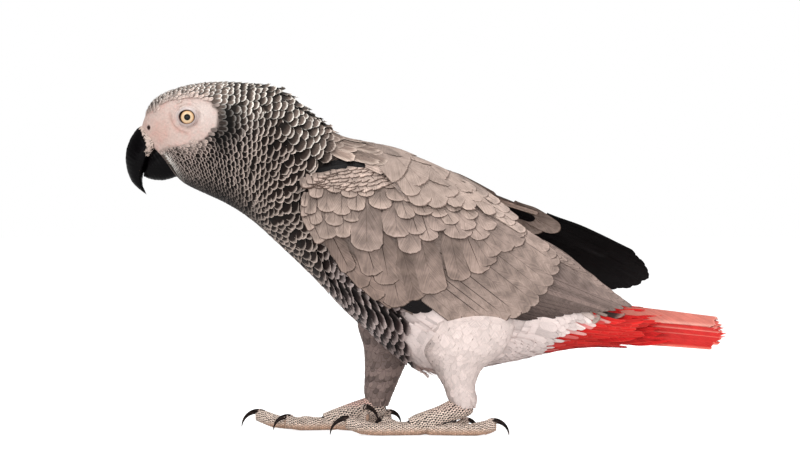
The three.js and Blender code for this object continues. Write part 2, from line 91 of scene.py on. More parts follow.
WING_FORM = {  # a, depth from the middle plane, curl over the back
    "left": [
        (0, 40, 0.012), (9.7, 43.5, 0.012), (23.3, 45.5, 0.0125), (58.2, 47, 0.017), (87.3, 46, 0.0185),
        (116.4, 39, 0.019), (147.4, 28, 0.02), (174.6, 19, 0.02), (194, 13, 0.02),
    ],
    "right": [
        (0, 40, 0.012), (8.8, 43.5, 0.012), (22, 45.5, 0.0125), (54.4, 47, 0.017), (89.6, 45, 0.0185),
        (111.7, 39, 0.019), (133.8, 32, 0.02), (166.9, 22, 0.018), (186.2, 17, 0.016), (200, 14, 0.016),
    ],
}
LOWER_CURL = 0.008
CREST = -10
BLADE_LENGTH = 200
TAIL_FORM = [  # x, height of the ridge, half-width, drop
    (84, 71.5, 10, 18), (92, 72.6, 12, 20.5), (112, 71.2, 14, 21), (137, 68.0, 16, 18.6),
    (168, 63.4, 17.5, 15.5),
]
ROOF_POWER = 1.35
THIGHS = {  # centre x, y, z, half-size fore-and-aft, half-size across
    "left": [
        (24.0, -16.0, 82.0, 12.0, 6.0), (24.0, -21.0, 66.0, 26.0, 14.5), (22.0, -23.0, 48.5, 23.0, 15.0),
        (18.6, -22.6, 37.5, 13.8, 11.6), (19.4, -21.8, 27.7, 8.8, 8.4), (21.2, -21.0, 20.5, 8.1, 7.4),
        (23.0, -21.0, 15.4, 5.4, 5.6),
    ],
    "right": [
        (-12.0, 16.0, 80.0, 8.0, 6.0), (-17.4, 21.0, 64.0, 19.4, 14.0), (-20.0, 23.0, 46.0, 13.8, 13.4),
        (-23.2, 22.4, 31.0, 10.2, 10.2), (-25.4, 21.2, 21.4, 8.3, 7.8), (-26.2, 21.0, 13.6, 6.0, 5.8),
    ],
}
TARSI = {  # centre x, y, z, half-thickness
    "left": [
        (25.4, -21.0, 18.6, 5.4), (21.2, -21.0, 16.4, 6.5), (9.9, -20.0, 11.4, 5.6),
        (-1.5, -19.0, 6.6, 6.1),
        (-7.0, -19.2, 5.2, 4.8),
    ],
    "right": [
        (-22.8, 21.0, 15.6, 5.2), (-27.0, 21.0, 13.6, 6.4), (-38.0, 20.0, 10.6, 5.9),
        (-49.0, 19.0, 6.4, 6.0),
        (-55.4, 19.2, 5.0, 4.8),
    ],
}
TARSUS_LEAN = 25
TARSUS_FLATNESS, TOE_FLATNESS = 0.86, 0.94  # width for a height of 1
BALLS = {"left": (0.5, -19.0), "right": (-48.6, 19.0)}
TOES = {  # number, length, yaw, forward, half-thickness, lift of the tip, reach of the claw, its lift
    "left": [
        (3, 44.4, 8, True, 4.1, 1.8, 11.2, 0), (2, 28, -33, True, 3.8, 1.2, 8.8, 0.6),
        (4, 39.8, -11, False, 3.9, 0.6, 9.8, 0), (1, 26, 24, False, 3.6, 0.8, 9.0, 0),
    ],
    "right": [
        (3, 47.8, 12, True, 3.9, 2.0, 11.0, 0), (2, 30.6, -14, True, 3.8, 0.4, 9.2, 0),
        (4, 31.8, -20, False, 3.7, 1.6, 8.6, 2.2), (1, 21, 36, False, 3.6, 3.4, 9.8, 5.2),
    ],
}
TOE_FORM = [  # share of the length, thickness, share of the tip's lift, rise
    (0.04, 1.1, 0, 0.05), (0.24, 1, 0, 0), (0.4, 1.07, 0, 0), (0.58, 0.9, 0, 0.02),
    (0.76, 1.04, 0.35, 0.06),
    (0.92, 1, 1, 0.38), (1, 0.62, 1, 0.72),
]
SOLE_HEIGHT = 0.87
CLAW_SWEEP = (-24, 88)
CLAW_HALF = 1.75
CLAW_ROOT = (0.6, 0.8)  # up, back


def eye_box_centre(side_name):
    low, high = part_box("eye_" + side_name)
    return (np.array(low) + np.array(high)) / 2


middle_of_eyes = (eye_box_centre("left") + eye_box_centre("right")) / 2
ORIGIN = middle_of_eyes - np.array([EYE_AT[0], 0, EYE_AT[1]]) * MM


def place(points):
    """Millimetres in the bird's frame to metres in the CAD's frame."""
    return np.asarray(points) * MM + ORIGIN


# ------------------------------------------------------------------------------ curves and surfaces


def through(keys, rows, at):
    """Cubic Hermite values through rows at rising keys, for an array of places."""
    keys = np.asarray(keys, float)
    rows = np.asarray(rows, float)
    at = np.clip(np.asarray(at, float), keys[0], keys[-1])
    slope = np.empty_like(rows)
    slope[1:-1] = (rows[2:] - rows[:-2]) / (keys[2:] - keys[:-2])[:, None]
    slope[0] = (rows[1] - rows[0]) / (keys[1] - keys[0])
    slope[-1] = (rows[-1] - rows[-2]) / (keys[-1] - keys[-2])
    i = np.clip(np.searchsorted(keys, at, side="right") - 1, 0, len(keys) - 2)
    span = (keys[i + 1] - keys[i])[..., None]
    t = (at - keys[i])[..., None] / span
    u = 1 - t
    value = (1 + 2 * t) * u * u * rows[i] + t * u * u * span * slope[i]
    value = value + t * t * (3 - 2 * t) * rows[i + 1] - t * t * u * span * slope[i + 1]
    return value[..., 0] if value.shape[-1] == 1 else value


def stations(rows, at):
    """Values through evenly spaced rows, the first at 0 and the next at 1."""
    return through(np.arange(len(rows)), rows, at)


def lookup(table, at):
    """The further columns of a table at places in its first column."""
    table = np.array(table, float)
    return through(table[:, 0], table[:, 1:], at)


def smooth(low, high, value):
    """0 up to low, 1 from high on, and a smooth rise between them."""
    t = np.clip((np.asarray(value, float) - low) / (high - low), 0, 1)
    return t * t * (3 - 2 * t)


def bell(value, width):
    """1 where the value is 0, falling off to both sides."""
    return np.exp(-((value / width) ** 2))


def mix(a, b, share):
    """From a to b by a share for each point."""
    a = np.asarray(a, float)
    return a + (np.asarray(b, float) - a) * np.asarray(share)[..., None]


def varied(colors, factor):
    """Colours of centre and rim for feathers(), times a factor for each feather."""
    return {key: np.array(color, float) * factor for key, color in zip(("centre", "rim"), colors)}


def unit(vectors):
    return vectors / np.maximum(np.linalg.norm(vectors, axis=-1, keepdims=True), 1e-9)


def circle(count):
    return np.linspace(0, 2 * math.pi, count, endpoint=False)


def super_circle(value):
    return np.sign(value) * np.abs(value) ** (2 / FULLNESS)


class Body:
    """Head, neck and trunk: s counts the ribs, t is the angle from the back down the right side."""

    span_s = (0, len(RIBS) - 1)
    span_t = (-math.pi, math.pi)

    def point(self, s, t, out=0.0):
        row = stations(RIBS, s)
        top_x, top_z, low_x, low_z, half = (row[..., k] for k in range(5))
        height = np.hypot(top_x - low_x, top_z - low_z) / 2
        rise = super_circle(np.cos(t)) * (height + out) / height / 2
        x = (top_x + low_x) / 2 + (top_x - low_x) * rise
        y = (half + out) * super_circle(np.sin(t))
        z = (top_z + low_z) / 2 + (top_z - low_z) * rise
        return np.stack(np.broadcast_arrays(x, y, z), -1)


class Wing:
    """A folded wing's surface: s runs from the wrist to the tip and t up across it, in millimetres."""

    span_s = (-10, 200)
    span_t = (-50, 50)

    def __init__(self, side_name):
        self.side = SIDES[side_name]
        self.slope = math.radians(WING_SLOPE[side_name])
        self.form = WING_FORM[side_name]

    def point(self, s, t, out=0.0):
        row = lookup(self.form, s)
        off = t - CREST * (1 - np.clip(s, 0, BLADE_LENGTH) / BLADE_LENGTH)
        curl = np.where(off > 0, row[..., 1], LOWER_CURL)
        y = self.side * (row[..., 0] - curl * off * off + out)
        x = WRIST[0] + s * math.cos(self.slope) + t * math.sin(self.slope)
        z = WRIST[1] - s * math.sin(self.slope) + t * math.cos(self.slope)
        return np.stack(np.broadcast_arrays(x, y, z), -1)


class Tail:
    """The roof of the closed tail: s is x, and t runs across from -1 on the left to 1 on the right."""

    span_s = (80, 170)
    span_t = (-1.1, 1.1)

    def point(self, s, t, out=0.0):
        row = lookup(TAIL_FORM, s)
        z = row[..., 0] - row[..., 2] * np.abs(t) ** ROOF_POWER + out
        return np.stack(np.broadcast_arrays(s, t * row[..., 1] + out * t * 0.5, z), -1)


class Limb:
    """A tube of slices: s runs along it from 0 to 1, t is the angle around it."""

    span_s = (0, 1)
    span_t = (-math.pi, math.pi)

    def __init__(self, centres, fore, across, fore_axis, side_axis):
        self.rows = np.column_stack([centres, fore, across])
        self.fore_axis = np.array(fore_axis, float)
        self.side_axis = np.array(side_axis, float)

    def point(self, s, t, out=0.0):
        row = stations(self.rows, np.asarray(s) * (len(self.rows) - 1))
        fore = (row[..., 3] + out) * np.cos(t)
        across = (row[..., 4] + out) * np.sin(t)
        return row[..., :3] + fore[..., None] * self.fore_axis + across[..., None] * self.side_axis


def thigh_surface(side_name):
    rows = np.array(THIGHS[side_name])
    return Limb(rows[:, :3], rows[:, 3], rows[:, 4], (1, 0, 0), (0, 1, 0))


def tarsus_surface(side_name):
    rows = np.array(TARSI[side_name])
    lean = math.radians(TARSUS_LEAN)
    fore_axis = (-math.sin(lean), 0, math.cos(lean))
    return Limb(rows[:, :3], rows[:, 3], rows[:, 3] * TARSUS_FLATNESS, fore_axis, (0, 1, 0))


def toe_heading(side, yaw, forward):
    turn = math.radians(yaw)
    outward = math.sin(turn) if forward else -math.sin(turn)
    return np.array([(-1 if forward else 1) * math.cos(turn), side * outward, 0])


def toe_surface(side_name, toe):
    _, length, yaw, forward, size, lift, _, _ = toe
    heading = toe_heading(SIDES[side_name], yaw, forward)
    share, thickness, lifted, rise = np.array(TOE_FORM, float).T
    sizes = size * thickness
    centres = np.zeros((len(share), 3))
    centres[:, :2] = np.array(BALLS[side_name]) + heading[:2] * (length * share)[:, None]
    centres[:, 2] = size * (thickness * SOLE_HEIGHT + rise) + lift * lifted
    return Limb(centres, sizes, sizes * TOE_FLATNESS, (0, 0, 1), (-heading[1], heading[0], 0))


BODY = Body()
TAIL = Tail()
WINGS = {name: Wing(name) for name in SIDES}


def steps(surface, s, t):
    """How far the surface moves for a unit of s, and for a unit of t."""
    ds = (surface.span_s[1] - surface.span_s[0]) * 2e-4
    dt = (surface.span_t[1] - surface.span_t[0]) * 2e-4
    along = (surface.point(s + ds, t) - surface.point(s - ds, t)) / (2 * ds)
    around = (surface.point(s, t + dt) - surface.point(s, t - dt)) / (2 * dt)
    return along, around


def rates(surface, s, t):
    """Millimetres for a unit of s, and for a unit of t."""
    return (np.linalg.norm(step, axis=-1) for step in steps(surface, s, t))


def body_side(x, z):
    """How far the body's surface stands from the middle plane at [x, z] in side view."""
    s, t = np.meshgrid(np.linspace(0, len(RIBS) - 2, 400), np.linspace(0, math.pi, 200))
    points = BODY.point(s, t)
    miss = np.hypot(points[..., 0] - x, points[..., 2] - z)
    return points[..., 1].ravel()[np.argmin(miss)]


# ------------------------------------------------------------------------------ meshes

collection = bpy.context.scene.collection


def link_object(name, data):
    made = bpy.data.objects.new(name, data)
    collection.objects.link(made)
    return made


def quads_object(name, points, quads):
    """A mesh object from arrays of points (millimetres) and of four-cornered faces."""
    mesh = bpy.data.meshes.new(name)
    mesh.vertices.add(len(points))
    mesh.vertices.foreach_set("co", place(points).astype(np.float32).ravel())
    mesh.loops.add(quads.size)
    mesh.loops.foreach_set("vertex_index", quads.astype(np.int32).ravel())
    mesh.polygons.add(len(quads))
    mesh.polygons.foreach_set("loop_start", np.arange(len(quads), dtype=np.int32) * 4)
    mesh.polygons.foreach_set("use_smooth", np.full(len(quads), True))
    mesh.update(calc_edges=True)
    return link_object(name, mesh)


def tube_mesh(points):
    """Vertices and faces of a closed tube over a grid of rings, with a fan over each end."""
    rings, count = points.shape[:2]
    index = np.arange(rings * count).reshape(rings, count)
    turned = np.roll(index, -1, axis=1)
    quads = np.stack([index[:-1], turned[:-1], turned[1:], index[1:]], -1).reshape(-1, 4)
    hubs = points[[0, -1]].mean(axis=1)
    first, last = rings * count, rings * count + 1
    fans = [(first, turned[0, k], index[0, k]) for k in range(count)]
    fans += [(last, index[-1, k], turned[-1, k]) for k in range(count)]
    return np.vstack([points.reshape(-1, 3), hubs]), [*map(tuple, quads.tolist()), *fans]


def closed_object(name, points, faces):
    """A closed mesh as an object, with its faces turned out."""
    mesh = bpy.data.meshes.new(name)
    mesh.from_pydata(place(points).tolist(), [], faces)
    work = bmesh.new()
    work.from_mesh(mesh)
    bmesh.ops.recalc_face_normals(work, faces=work.faces)
    work.to_mesh(mesh)
    work.free()
    mesh.shade_smooth()
    return link_object(name, mesh)


def surface_grid(surface, s_range, rings, count, out):
    s, t = np.meshgrid(np.linspace(*s_range, rings), circle(count), indexing="ij")
    return surface.point(s, t, out(s) if callable(out) else out)


def read_points(mesh):
    points = np.empty(len(mesh.vertices) * 3, np.float32)
    mesh.vertices.foreach_get("co", points)
    return (points.reshape(-1, 3).astype(float) - ORIGIN) / MM


def write_points(mesh, points):
    mesh.vertices.foreach_set("co", place(points).astype(np.float32).ravel())
    mesh.update()


def read_edges(mesh):
    edges = np.empty(len(mesh.edges) * 2, np.int32)
    mesh.edges.foreach_get("vertices", edges)
    return edges.reshape(-1, 2)


def add_attribute(made, name, kind, values):
    data = made.data.attributes.new(name, kind, "POINT").data
    field = {"FLOAT": "value", "FLOAT_VECTOR": "vector", "FLOAT_COLOR": "color"}[kind]
    data.foreach_set(field, np.ascontiguousarray(values, dtype=np.float32).ravel())


def linear(rgb):
    """Display colours of 0 to 255 as linear light."""
    c = np.asarray(rgb, float) / 255
    return np.where(c <= 0.04045, c / 12.92, ((c + 0.055) / 1.055) ** 2.4)


def with_alpha(colors):
    return np.concatenate([colors, np.ones(colors.shape[:-1] + (1,))], -1)


def dress(made, shader, slot_name, *nodes):
    """Gives a piece its material, and the nodes it replaces; the slot name is not used. All ride on the one
    still body.
    """
    made.data.materials.append(shader)
    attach(made, "root")
    if nodes:
        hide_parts(*nodes)


# ------------------------------------------------------------------------------ feathers

BAKE_PATCH = 0.003
BAKE_MARGIN = 0.01
ROW_SPREAD = 0.85  # below 1, a vane's rows of points stand closer at its end
END_POINT = 0.9  # 1 rounds a vane's end fully, and less blunts it


def feathers(name, surface, s, t, length, width, shader, slot_name, *nodes, slant=0.0, root, tip, roll=0.0,
             camber, grid, neck=0.35, widest=0.45, tip_width, tip_reach, ragged, thickness=0.12, dome=0.0,
             centre, rim, rim_width=0.4, barb_slant=1.6, curve=0.0):
    """One mesh of closed vanes that lie along a surface.

    s and t are the roots, slant turns each vane from the surface's s towards t, and root and tip are
    its heights over the surface. tip_reach is the length of the rounded end in half-widths. The
    other shapes are shares of the length or the width.
    """
    count = len(s)

    def each(value):
        return np.broadcast_to(np.asarray(value, float), (count,))[:, None, None]

    across, along = grid
    u = np.linspace(-1, 1, across + 1)[None, None, :]
    v = (np.linspace(0, 1, along + 1) ** ROW_SPREAD)[None, :, None]
    swell = smooth(0, widest, v) * (1 - neck) + neck
    start = 1 - np.clip(each(tip_reach) * each(width) / 2 / each(length), 0.05, 0.7)
    end = np.clip((v - start) / (1 - start), 0, 1)
    taper = 1 - (1 - each(tip_width)) * smooth(widest, 1.0, v) ** 1.3
    half = each(width) / 2 * swell * taper
    fray = np.zeros((count, along + 1, across + 1))
    fray[:, -1, :] = rng.normal(0, 1, (count, across + 1)) * ragged
    rounding = end * (1 - np.sqrt(1 - END_POINT * u * u))
    p = each(length) * (np.minimum(v, start) + np.maximum(v - start, 0) * (1 - rounding) + fray)
    q = half * u + each(length) * fray * 0.3 + each(curve) * each(length) * v * v
    bulge = (1 - u * u) * (swell + dome * (4 * v * (1 - v) - 1))
    arch = each(camber) * each(width) * (bulge - 0.5)
    height = each(root) + (each(tip) - each(root)) * v + arch
    height = height + each(roll) * q

    turn = each(np.radians(slant))
    along_s, along_t = steps(surface, s, t)
    s_rate = np.linalg.norm(along_s, axis=-1)[:, None, None]
    t_rate = np.linalg.norm(along_t, axis=-1)[:, None, None]
    ss = each(s) + (p * np.cos(turn) - q * np.sin(turn)) / s_rate
    tt = each(t) + (p * np.sin(turn) + q * np.cos(turn)) / t_rate
    lens = each(thickness) * (1 - u * u) * np.where((v > 0) & (v < 1), 1, 0)
    top = surface.point(ss, tt, height)
    under = surface.point(ss, tt, height - lens)

    # Both faces of a vane share its outline; only the inner points are doubled.
    rows, columns = along + 1, across + 1
    upper_index = np.arange(rows * columns).reshape(rows, columns)
    inner = np.zeros((rows, columns), bool)
    inner[1:-1, 1:-1] = True
    lower_index = upper_index.copy()
    lower_index[inner] = rows * columns + np.arange(inner.sum())

    def cells(index):
        corners = [index[:-1, :-1], index[:-1, 1:], index[1:, 1:], index[1:, :-1]]
        return np.stack(corners, -1).reshape(-1, 4)

    # s, t and the outward direction can make a left-handed set; the test keeps faces turned out.
    outward = (surface.point(s[:1], t[:1], 1.0) - surface.point(s[:1], t[:1]))[0]
    faces = [cells(upper_index), cells(lower_index)[:, ::-1]]
    if np.cross(along_s[0], along_t[0]) @ outward < 0:
        faces = [face[:, ::-1] for face in faces]
    size = rows * columns + inner.sum()

    def spread(values):
        """Values on the grid of a vane, given to its upper and then its inner lower points."""
        values = np.broadcast_to(values, (count, rows, columns) + values.shape[3:])
        flat = values.reshape((count, rows * columns) + values.shape[3:])
        return np.concatenate([flat, flat[:, inner.ravel()]], 1)

    points = np.concatenate([top.reshape(count, -1, 3), under[:, inner]], 1)
    quads = (np.vstack(faces)[None] + (np.arange(count) * size)[:, None, None]).reshape(-1, 4)
    made = quads_object(name, points.reshape(-1, 3), quads)
    # The outline is a sharp edge, so that a vane is not shaded round like a cushion.
    outline = np.concatenate([~inner.ravel(), np.zeros(inner.sum(), bool)])
    sharp = outline[read_edges(made.data) % size].all(1)
    made.data.attributes.new("sharp_edge", "BOOLEAN", "EDGE").data.foreach_set("value", sharp)

    chance = rng.random(count)[:, None, None]
    shaft = np.abs(q)
    for label, values in (("vane", (u, v, chance)), ("barb", (p - shaft * barb_slant, shaft, chance * 97)),
                          ("size", (each(width) / 2, each(length), each(rim_width)))):
        stacked = np.stack(np.broadcast_arrays(*values, p)[:3], -1)
        add_attribute(made, label, "FLOAT_VECTOR", spread(stacked))
    for label, color in (("centre", centre), ("rim", rim)):
        color = np.broadcast_to(linear(color), (count, 3))[:, None, None, :]
        add_attribute(made, label, "FLOAT_COLOR", with_alpha(spread(np.broadcast_to(color, p.shape + (3,)))))

    low_s, high_s = surface.span_s
    low_t, high_t = surface.span_t
    root_uv = np.stack([(t - low_t) / (high_t - low_t), (s - low_s) / (high_s - low_s)], -1)
    root_uv = BAKE_MARGIN + (1 - 2 * BAKE_MARGIN) * np.clip(root_uv, 0, 1)
    local = np.stack(np.broadcast_arrays(u / 2, v - 0.5), -1)
    uv = root_uv[:, None, None, :] + BAKE_PATCH * np.broadcast_to(local, (count, rows, columns, 2))
    layer = made.data.uv_layers.new(name="OFBake")
    layer.data.foreach_set("uv", spread(uv).reshape(-1, 2)[quads.ravel()].astype(np.float32).ravel())
    dress(made, shader, slot_name, *nodes)


# ------------------------------------------------------------------------------ materials


class Value:
    """An output in a node tree. Arithmetic on it adds nodes."""

    def __init__(self, nodes, socket):
        self.nodes, self.socket = nodes, socket

    def __add__(self, other):
        return self.nodes.math("ADD", self, other)

    def __mul__(self, other):
        return self.nodes.math("MULTIPLY", self, other)

    def __sub__(self, other):
        return self.nodes.math("SUBTRACT", self, other)

    def __rsub__(self, other):
        return self.nodes.math("SUBTRACT", other, self)

    def __pow__(self, power):
        return self.nodes.math("POWER", self, power)

    def __abs__(self):
        return self.nodes.math("ABSOLUTE", self)

    __radd__, __rmul__ = __add__, __mul__


class Nodes:
    """Short calls for the node tree of a material or of the world."""

    def __init__(self, owner, shader="Principled BSDF"):
        owner.use_nodes = True
        self.owner, self.tree = owner, owner.node_tree
        self.shader = self.tree.nodes[shader].inputs

    def add(self, kind, inputs, *outputs, **settings):
        """A new node's output, or a list of those that are named."""
        node = self.tree.nodes.new(kind)
        for key, value in settings.items():
            setattr(node, key, value)
        for key, value in inputs.items():
            self.feed(node.inputs[key], value)
        values = [Value(self, node.outputs[key]) for key in outputs or [0]]
        return values if len(values) > 1 else values[0]

    def feed(self, socket, value):
        if isinstance(value, Value):
            self.tree.links.new(value.socket, socket)
        else:
            socket.default_value = value

    def attribute(self, name, output="Vector"):
        return self.add("ShaderNodeAttribute", {}, output, attribute_name=name)

    def math(self, operation, a, b=0.0):
        return self.add("ShaderNodeMath", {0: a, 1: b}, operation=operation)

    def ramp(self, value, low, high, out_low=0.0, out_high=1.0):
        inputs = {"Value": value, "From Min": low, "From Max": high, "To Min": out_low, "To Max": out_high}
        return self.add("ShaderNodeMapRange", inputs, "Result", interpolation_type="SMOOTHSTEP")

    def blend(self, share, a, b, mode="MIX"):
        return self.add("ShaderNodeMix", {0: share, 6: a, 7: b}, 2, data_type="RGBA", blend_type=mode)

    def tint(self, color, shade):
        """A colour times a number."""
        return self.blend(1.0, color, self.combine(shade, shade, shade), "MULTIPLY")

    def separate(self, vector):
        return self.add("ShaderNodeSeparateXYZ", {0: vector}, 0, 1, 2)

    def combine(self, x, y, z):
        return self.add("ShaderNodeCombineXYZ", {0: x, 1: y, 2: z})

    def position(self):
        return self.add("ShaderNodeTexCoord", {}, "Object")

    def noise(self, vector, scale, detail, roughness=0.5):
        inputs = {"Vector": vector, "Scale": scale, "Detail": detail, "Roughness": roughness}
        return self.add("ShaderNodeTexNoise", inputs, "Fac")

    def bump(self, height, strength, distance):
        inputs = {"Height": height, "Strength": strength, "Distance": distance}
        self.feed(self.shader["Normal"], self.add("ShaderNodeBump", inputs))

    def finish(self, color, **values):
        self.feed(self.shader["Base Color"], color)
        for key, value in values.items():
            self.feed(self.shader[key.replace("_", " ")], value)
        return self.owner


def material_nodes(name):
    return Nodes(bpy.data.materials.new(name))


def rgba(rgb):
    return (*linear(rgb).tolist(), 1.0)


def feather_material(name, shaft_color, shaft_share, streak=0.3, roughness=0.7, shaft_width=0.16,
                     root_shade=0.7, side_rim=1.6, rim_from=0.35, relief=0.5, band=0.0, frayed=0.5,
                     mottle=0.07, barb_pitch=1.3, shaft_end=1.0, rim_soft=(0.8, 1.5),
                     shade_over=(0.25, 0.85)):
    """Vanes with streaks along the barbs, a rim, a shaft, and shade where the next row covers them."""
    n = material_nodes(name)
    u, v, chance = n.separate(n.attribute("vane"))
    barb_x, barb_y, barb_z = n.separate(n.attribute("barb"))
    half, length, rim_width = n.separate(n.attribute("size"))
    streaks = n.noise(n.combine(barb_x * barb_pitch, barb_y * 0.14, barb_z), 1.0, 3.0)
    patches = n.noise(n.position(), 170.0, 3.0)
    # The distance to the vane's outline, rounded where its side and its end meet.
    side = (1.02 - abs(u)) * (half * side_rim)
    end = (1.004 - v) * length
    inward = (side ** -3.0 + end ** -3.0) ** (-1 / 3) + (streaks - 0.5) * frayed
    outer, inner = rim_width * rim_soft[0], rim_width * rim_soft[1]
    past_root = n.ramp(v, rim_from, rim_from + 0.3)
    rim_share = n.ramp(inward, outer, inner, 1.0, 0.0) * past_root
    color = n.blend(rim_share, n.attribute("centre", "Color"), n.attribute("rim", "Color"))
    shaft = n.ramp(barb_y, shaft_width * 0.5, shaft_width, 1.0, 0.0) * n.ramp(chance, 0.15, 0.85, 0.35, 1.0)
    shaft = shaft * n.ramp(v, shaft_end - 0.15, shaft_end, shaft_share, 0.0)
    color = n.blend(shaft, color, rgba(shaft_color))
    shade = n.ramp(streaks, 0.3, 0.7, 1 - streak, 1 + streak * 0.6)
    shade = shade + n.ramp(patches, 0.3, 0.7, -mottle, mottle) + n.ramp(chance, 0.0, 1.0, -0.035, 0.035)
    # A pale band just inside the rim is painted highlight, as of light catching the feather's edge.
    if band:
        shade = shade + n.ramp(inward, inner, inner + 1.6, band, 0.0) * past_root
    shade = shade * n.ramp(v, *shade_over, root_shade, 1.0)
    ridges = n.math("SINE", barb_x * 11.0)
    n.bump(ridges * 0.4 + streaks * 1.6 + n.ramp(barb_y, 0.0, 0.3, 1.2, 0.0), relief, 0.00012)
    return n.finish(n.tint(color, shade), Roughness=roughness, Sheen_Weight=0.02, Sheen_Roughness=0.5,
                    Specular_IOR_Level=0.1)


def skin_material():
    n = material_nodes("skin")
    tone = n.attribute("tone", "Color")
    where = n.position()
    mottle = n.ramp(n.noise(where, 260.0, 4.0, 0.6), 0.42, 0.72, 0.0, 0.4)
    color = n.blend(n.attribute("bare", "Fac"), tone, n.blend(mottle, tone, rgba((214, 160, 148))))
    veins = n.noise(where, 900.0, 3.0, 0.6)
    grain = n.add("ShaderNodeTexVoronoi", {"Vector": where, "Scale": 1500.0}, "Distance")
    n.bump(veins * 1.2 + grain, 0.6, 0.00022)
    color = n.tint(color, n.ramp(veins, 0.3, 0.7, 0.9, 1.06))
    return n.finish(color, Roughness=0.62, Specular_IOR_Level=0.35)


def horn_material(name, dark=(2, 1, 2), light=(11, 7, 9)):
    """Dark horn with growth lines and scuffs, torn and pale where its flake attribute is high."""
    n = material_nodes(name)
    where = n.position()
    x, y, z = n.separate(where)
    grain = n.noise(n.combine(x * 0.35, y, z), 900.0, 4.0, 0.6)
    scuff = n.noise(where, 420.0, 5.0, 0.7)
    color = n.blend(n.ramp(grain, 0.4, 0.85), rgba(dark), rgba(light))
    color = n.blend(n.ramp(scuff, 0.72, 0.9, 0.0, 0.16), color, rgba((110, 98, 98)))
    torn = (n.noise(where, 700.0, 4.0, 0.65) - 0.5) * 6.0 + 1.0
    worn = n.ramp(n.attribute("flake", "Fac") * torn, 0.42, 0.62)
    color = n.blend(worn, color, n.blend(grain, rgba((228, 208, 196)), rgba((170, 148, 138))))
    n.bump(worn * 1.5 + scuff, 0.4, 0.00016)
    return n.finish(color, Roughness=n.ramp(scuff, 0.3, 0.8, 0.24, 0.5), Specular_IOR_Level=0.06)


PUPIL, IRIS_EDGE = (1.7, 1.88), (3.3, 3.8)  # where each border of the iris starts and ends, in millimetres


def eye_material():
    n = material_nodes("eye")
    radius, turn, _ = n.separate(n.attribute("gaze"))
    rays = n.noise(n.combine(turn * 9.0, radius * 0.5, 0.0), 1.4, 4.0, 0.7)
    iris = n.blend(n.ramp(rays, 0.3, 0.7), rgba((216, 182, 140)), rgba((238, 212, 180)))
    iris = n.blend(n.ramp(radius, 2.6, 3.6, 0.0, 0.7), iris, rgba((206, 146, 92)))
    iris = n.blend(n.ramp(radius, *IRIS_EDGE), iris, rgba((26, 14, 10)))
    color = n.blend(n.ramp(radius, *PUPIL), rgba((3, 2, 3)), iris)
    return n.finish(color, Roughness=0.2, Coat_Weight=0.1, Coat_Roughness=0.03, Specular_IOR_Level=0.12)


def scale_material():
    """Scales with a pale middle and dark points in the corners, where they stand clear of the ground."""
    n = material_nodes("foot scales")
    u, v, chance = n.separate(n.attribute("vane"))
    grain = n.noise(n.position(), 1600.0, 3.0, 0.6)
    away = abs(u) ** 2.0 + n.ramp(v, 0.5, 1.0) ** 2.0
    color = n.blend(n.ramp(away, 0.45, 1.0), n.attribute("centre", "Color"), n.attribute("rim", "Color"))
    corner = n.ramp(abs(u), 0.3, 0.55) * n.ramp(abs(v - 0.62), 0.18, 0.42, 1.0, 0.0)
    clear = n.ramp(n.separate(n.position())[2], 0.002, 0.0055, 0.0, 0.97)
    color = n.blend(corner * clear, color, rgba((24, 16, 15)))
    shade = n.ramp(grain, 0.3, 0.7, 0.86, 1.06) + n.ramp(chance, 0.0, 1.0, -0.08, 0.08)
    n.bump(grain, 0.4, 0.0001)
    return n.finish(n.tint(color, shade), Roughness=0.55, Specular_IOR_Level=0.4)


FLOOR_GREY = (0.66, 0.66, 0.66, 1)
FLOOR_GLOW = 0.76


def floor_material():
    """Grey to the light, so that it takes the shadow, and white to the camera."""
    n = material_nodes("floor")
    rays = n.add("ShaderNodeLightPath", {}, "Is Camera Ray", "Is Glossy Ray", "Is Transmission Ray")
    seen = n.math("MAXIMUM", rays[0], n.math("MAXIMUM", rays[1], rays[2]))
    n.feed(n.shader["Emission Strength"], seen * FLOOR_GLOW)
    n.feed(n.shader["Emission Color"], (1, 1, 1, 1))
    return n.finish(FLOOR_GREY, Roughness=0.9)


# ------------------------------------------------------------------------------ markings

# Regions of the coat, as the display colours of a feather's centre and rim.
CROWN = ((168, 149, 138), (255, 250, 243))
CHEEK = ((20, 12, 11), (192, 174, 165))
NECK = ((40, 29, 25), (202, 184, 173))
NAPE = ((136, 119, 109), (255, 248, 238))
BREAST = ((64, 49, 47), (208, 190, 185))
BELLY = ((52, 36, 35), (178, 160, 156))
MANTLE = ((134, 116, 106), (186, 167, 155))
SCAPULAR = ((178, 158, 147), (108, 90, 81))
VENT = ((238, 221, 216), (228, 210, 205))
RUMP = ((190, 171, 161), (148, 129, 120))
RED = ((206, 40, 38), (216, 66, 58))


def body_colors(s, t):
    """Centre and rim of the feathers of head, neck and trunk."""
    down = np.abs(t) / math.pi  # 0 on the back, 1 on the belly
    layers = [
        (CHEEK, smooth(0.3, 0.55, down) * smooth(0.8, 1.4, s)),
        (NECK, smooth(3.0, 4.0, s + 0.9 * (down - 0.35))),
        (NAPE, smooth(2.6, 3.4, s) * smooth(5.4, 4.8, s) * smooth(0.42, 0.22, down)),
        (BREAST, smooth(5.4, 6.2, s) * smooth(0.3, 0.55, down)),
        (MANTLE, smooth(4.5, 5.3, s - 0.9 * down) * smooth(0.5, 0.3, down)),
        (SCAPULAR, smooth(5.4, 6.4, s) * smooth(0.5, 0.35, down)),
        (BELLY, smooth(6.9, 7.3, s) * smooth(0.4, 0.6, down)),
        (VENT, smooth(7.25, 7.55, s - (down - 0.6)) * smooth(0.3, 0.42, down)),
        (RED, smooth(9.12, 9.2, s - 1.1 * (0.85 - down))),
    ]
    colors = [np.broadcast_to(np.array(color, float), s.shape + (3,)) for color in CROWN]
    for tones, share in layers:
        colors = [mix(color, tone, share) for color, tone in zip(colors, tones)]
    return colors


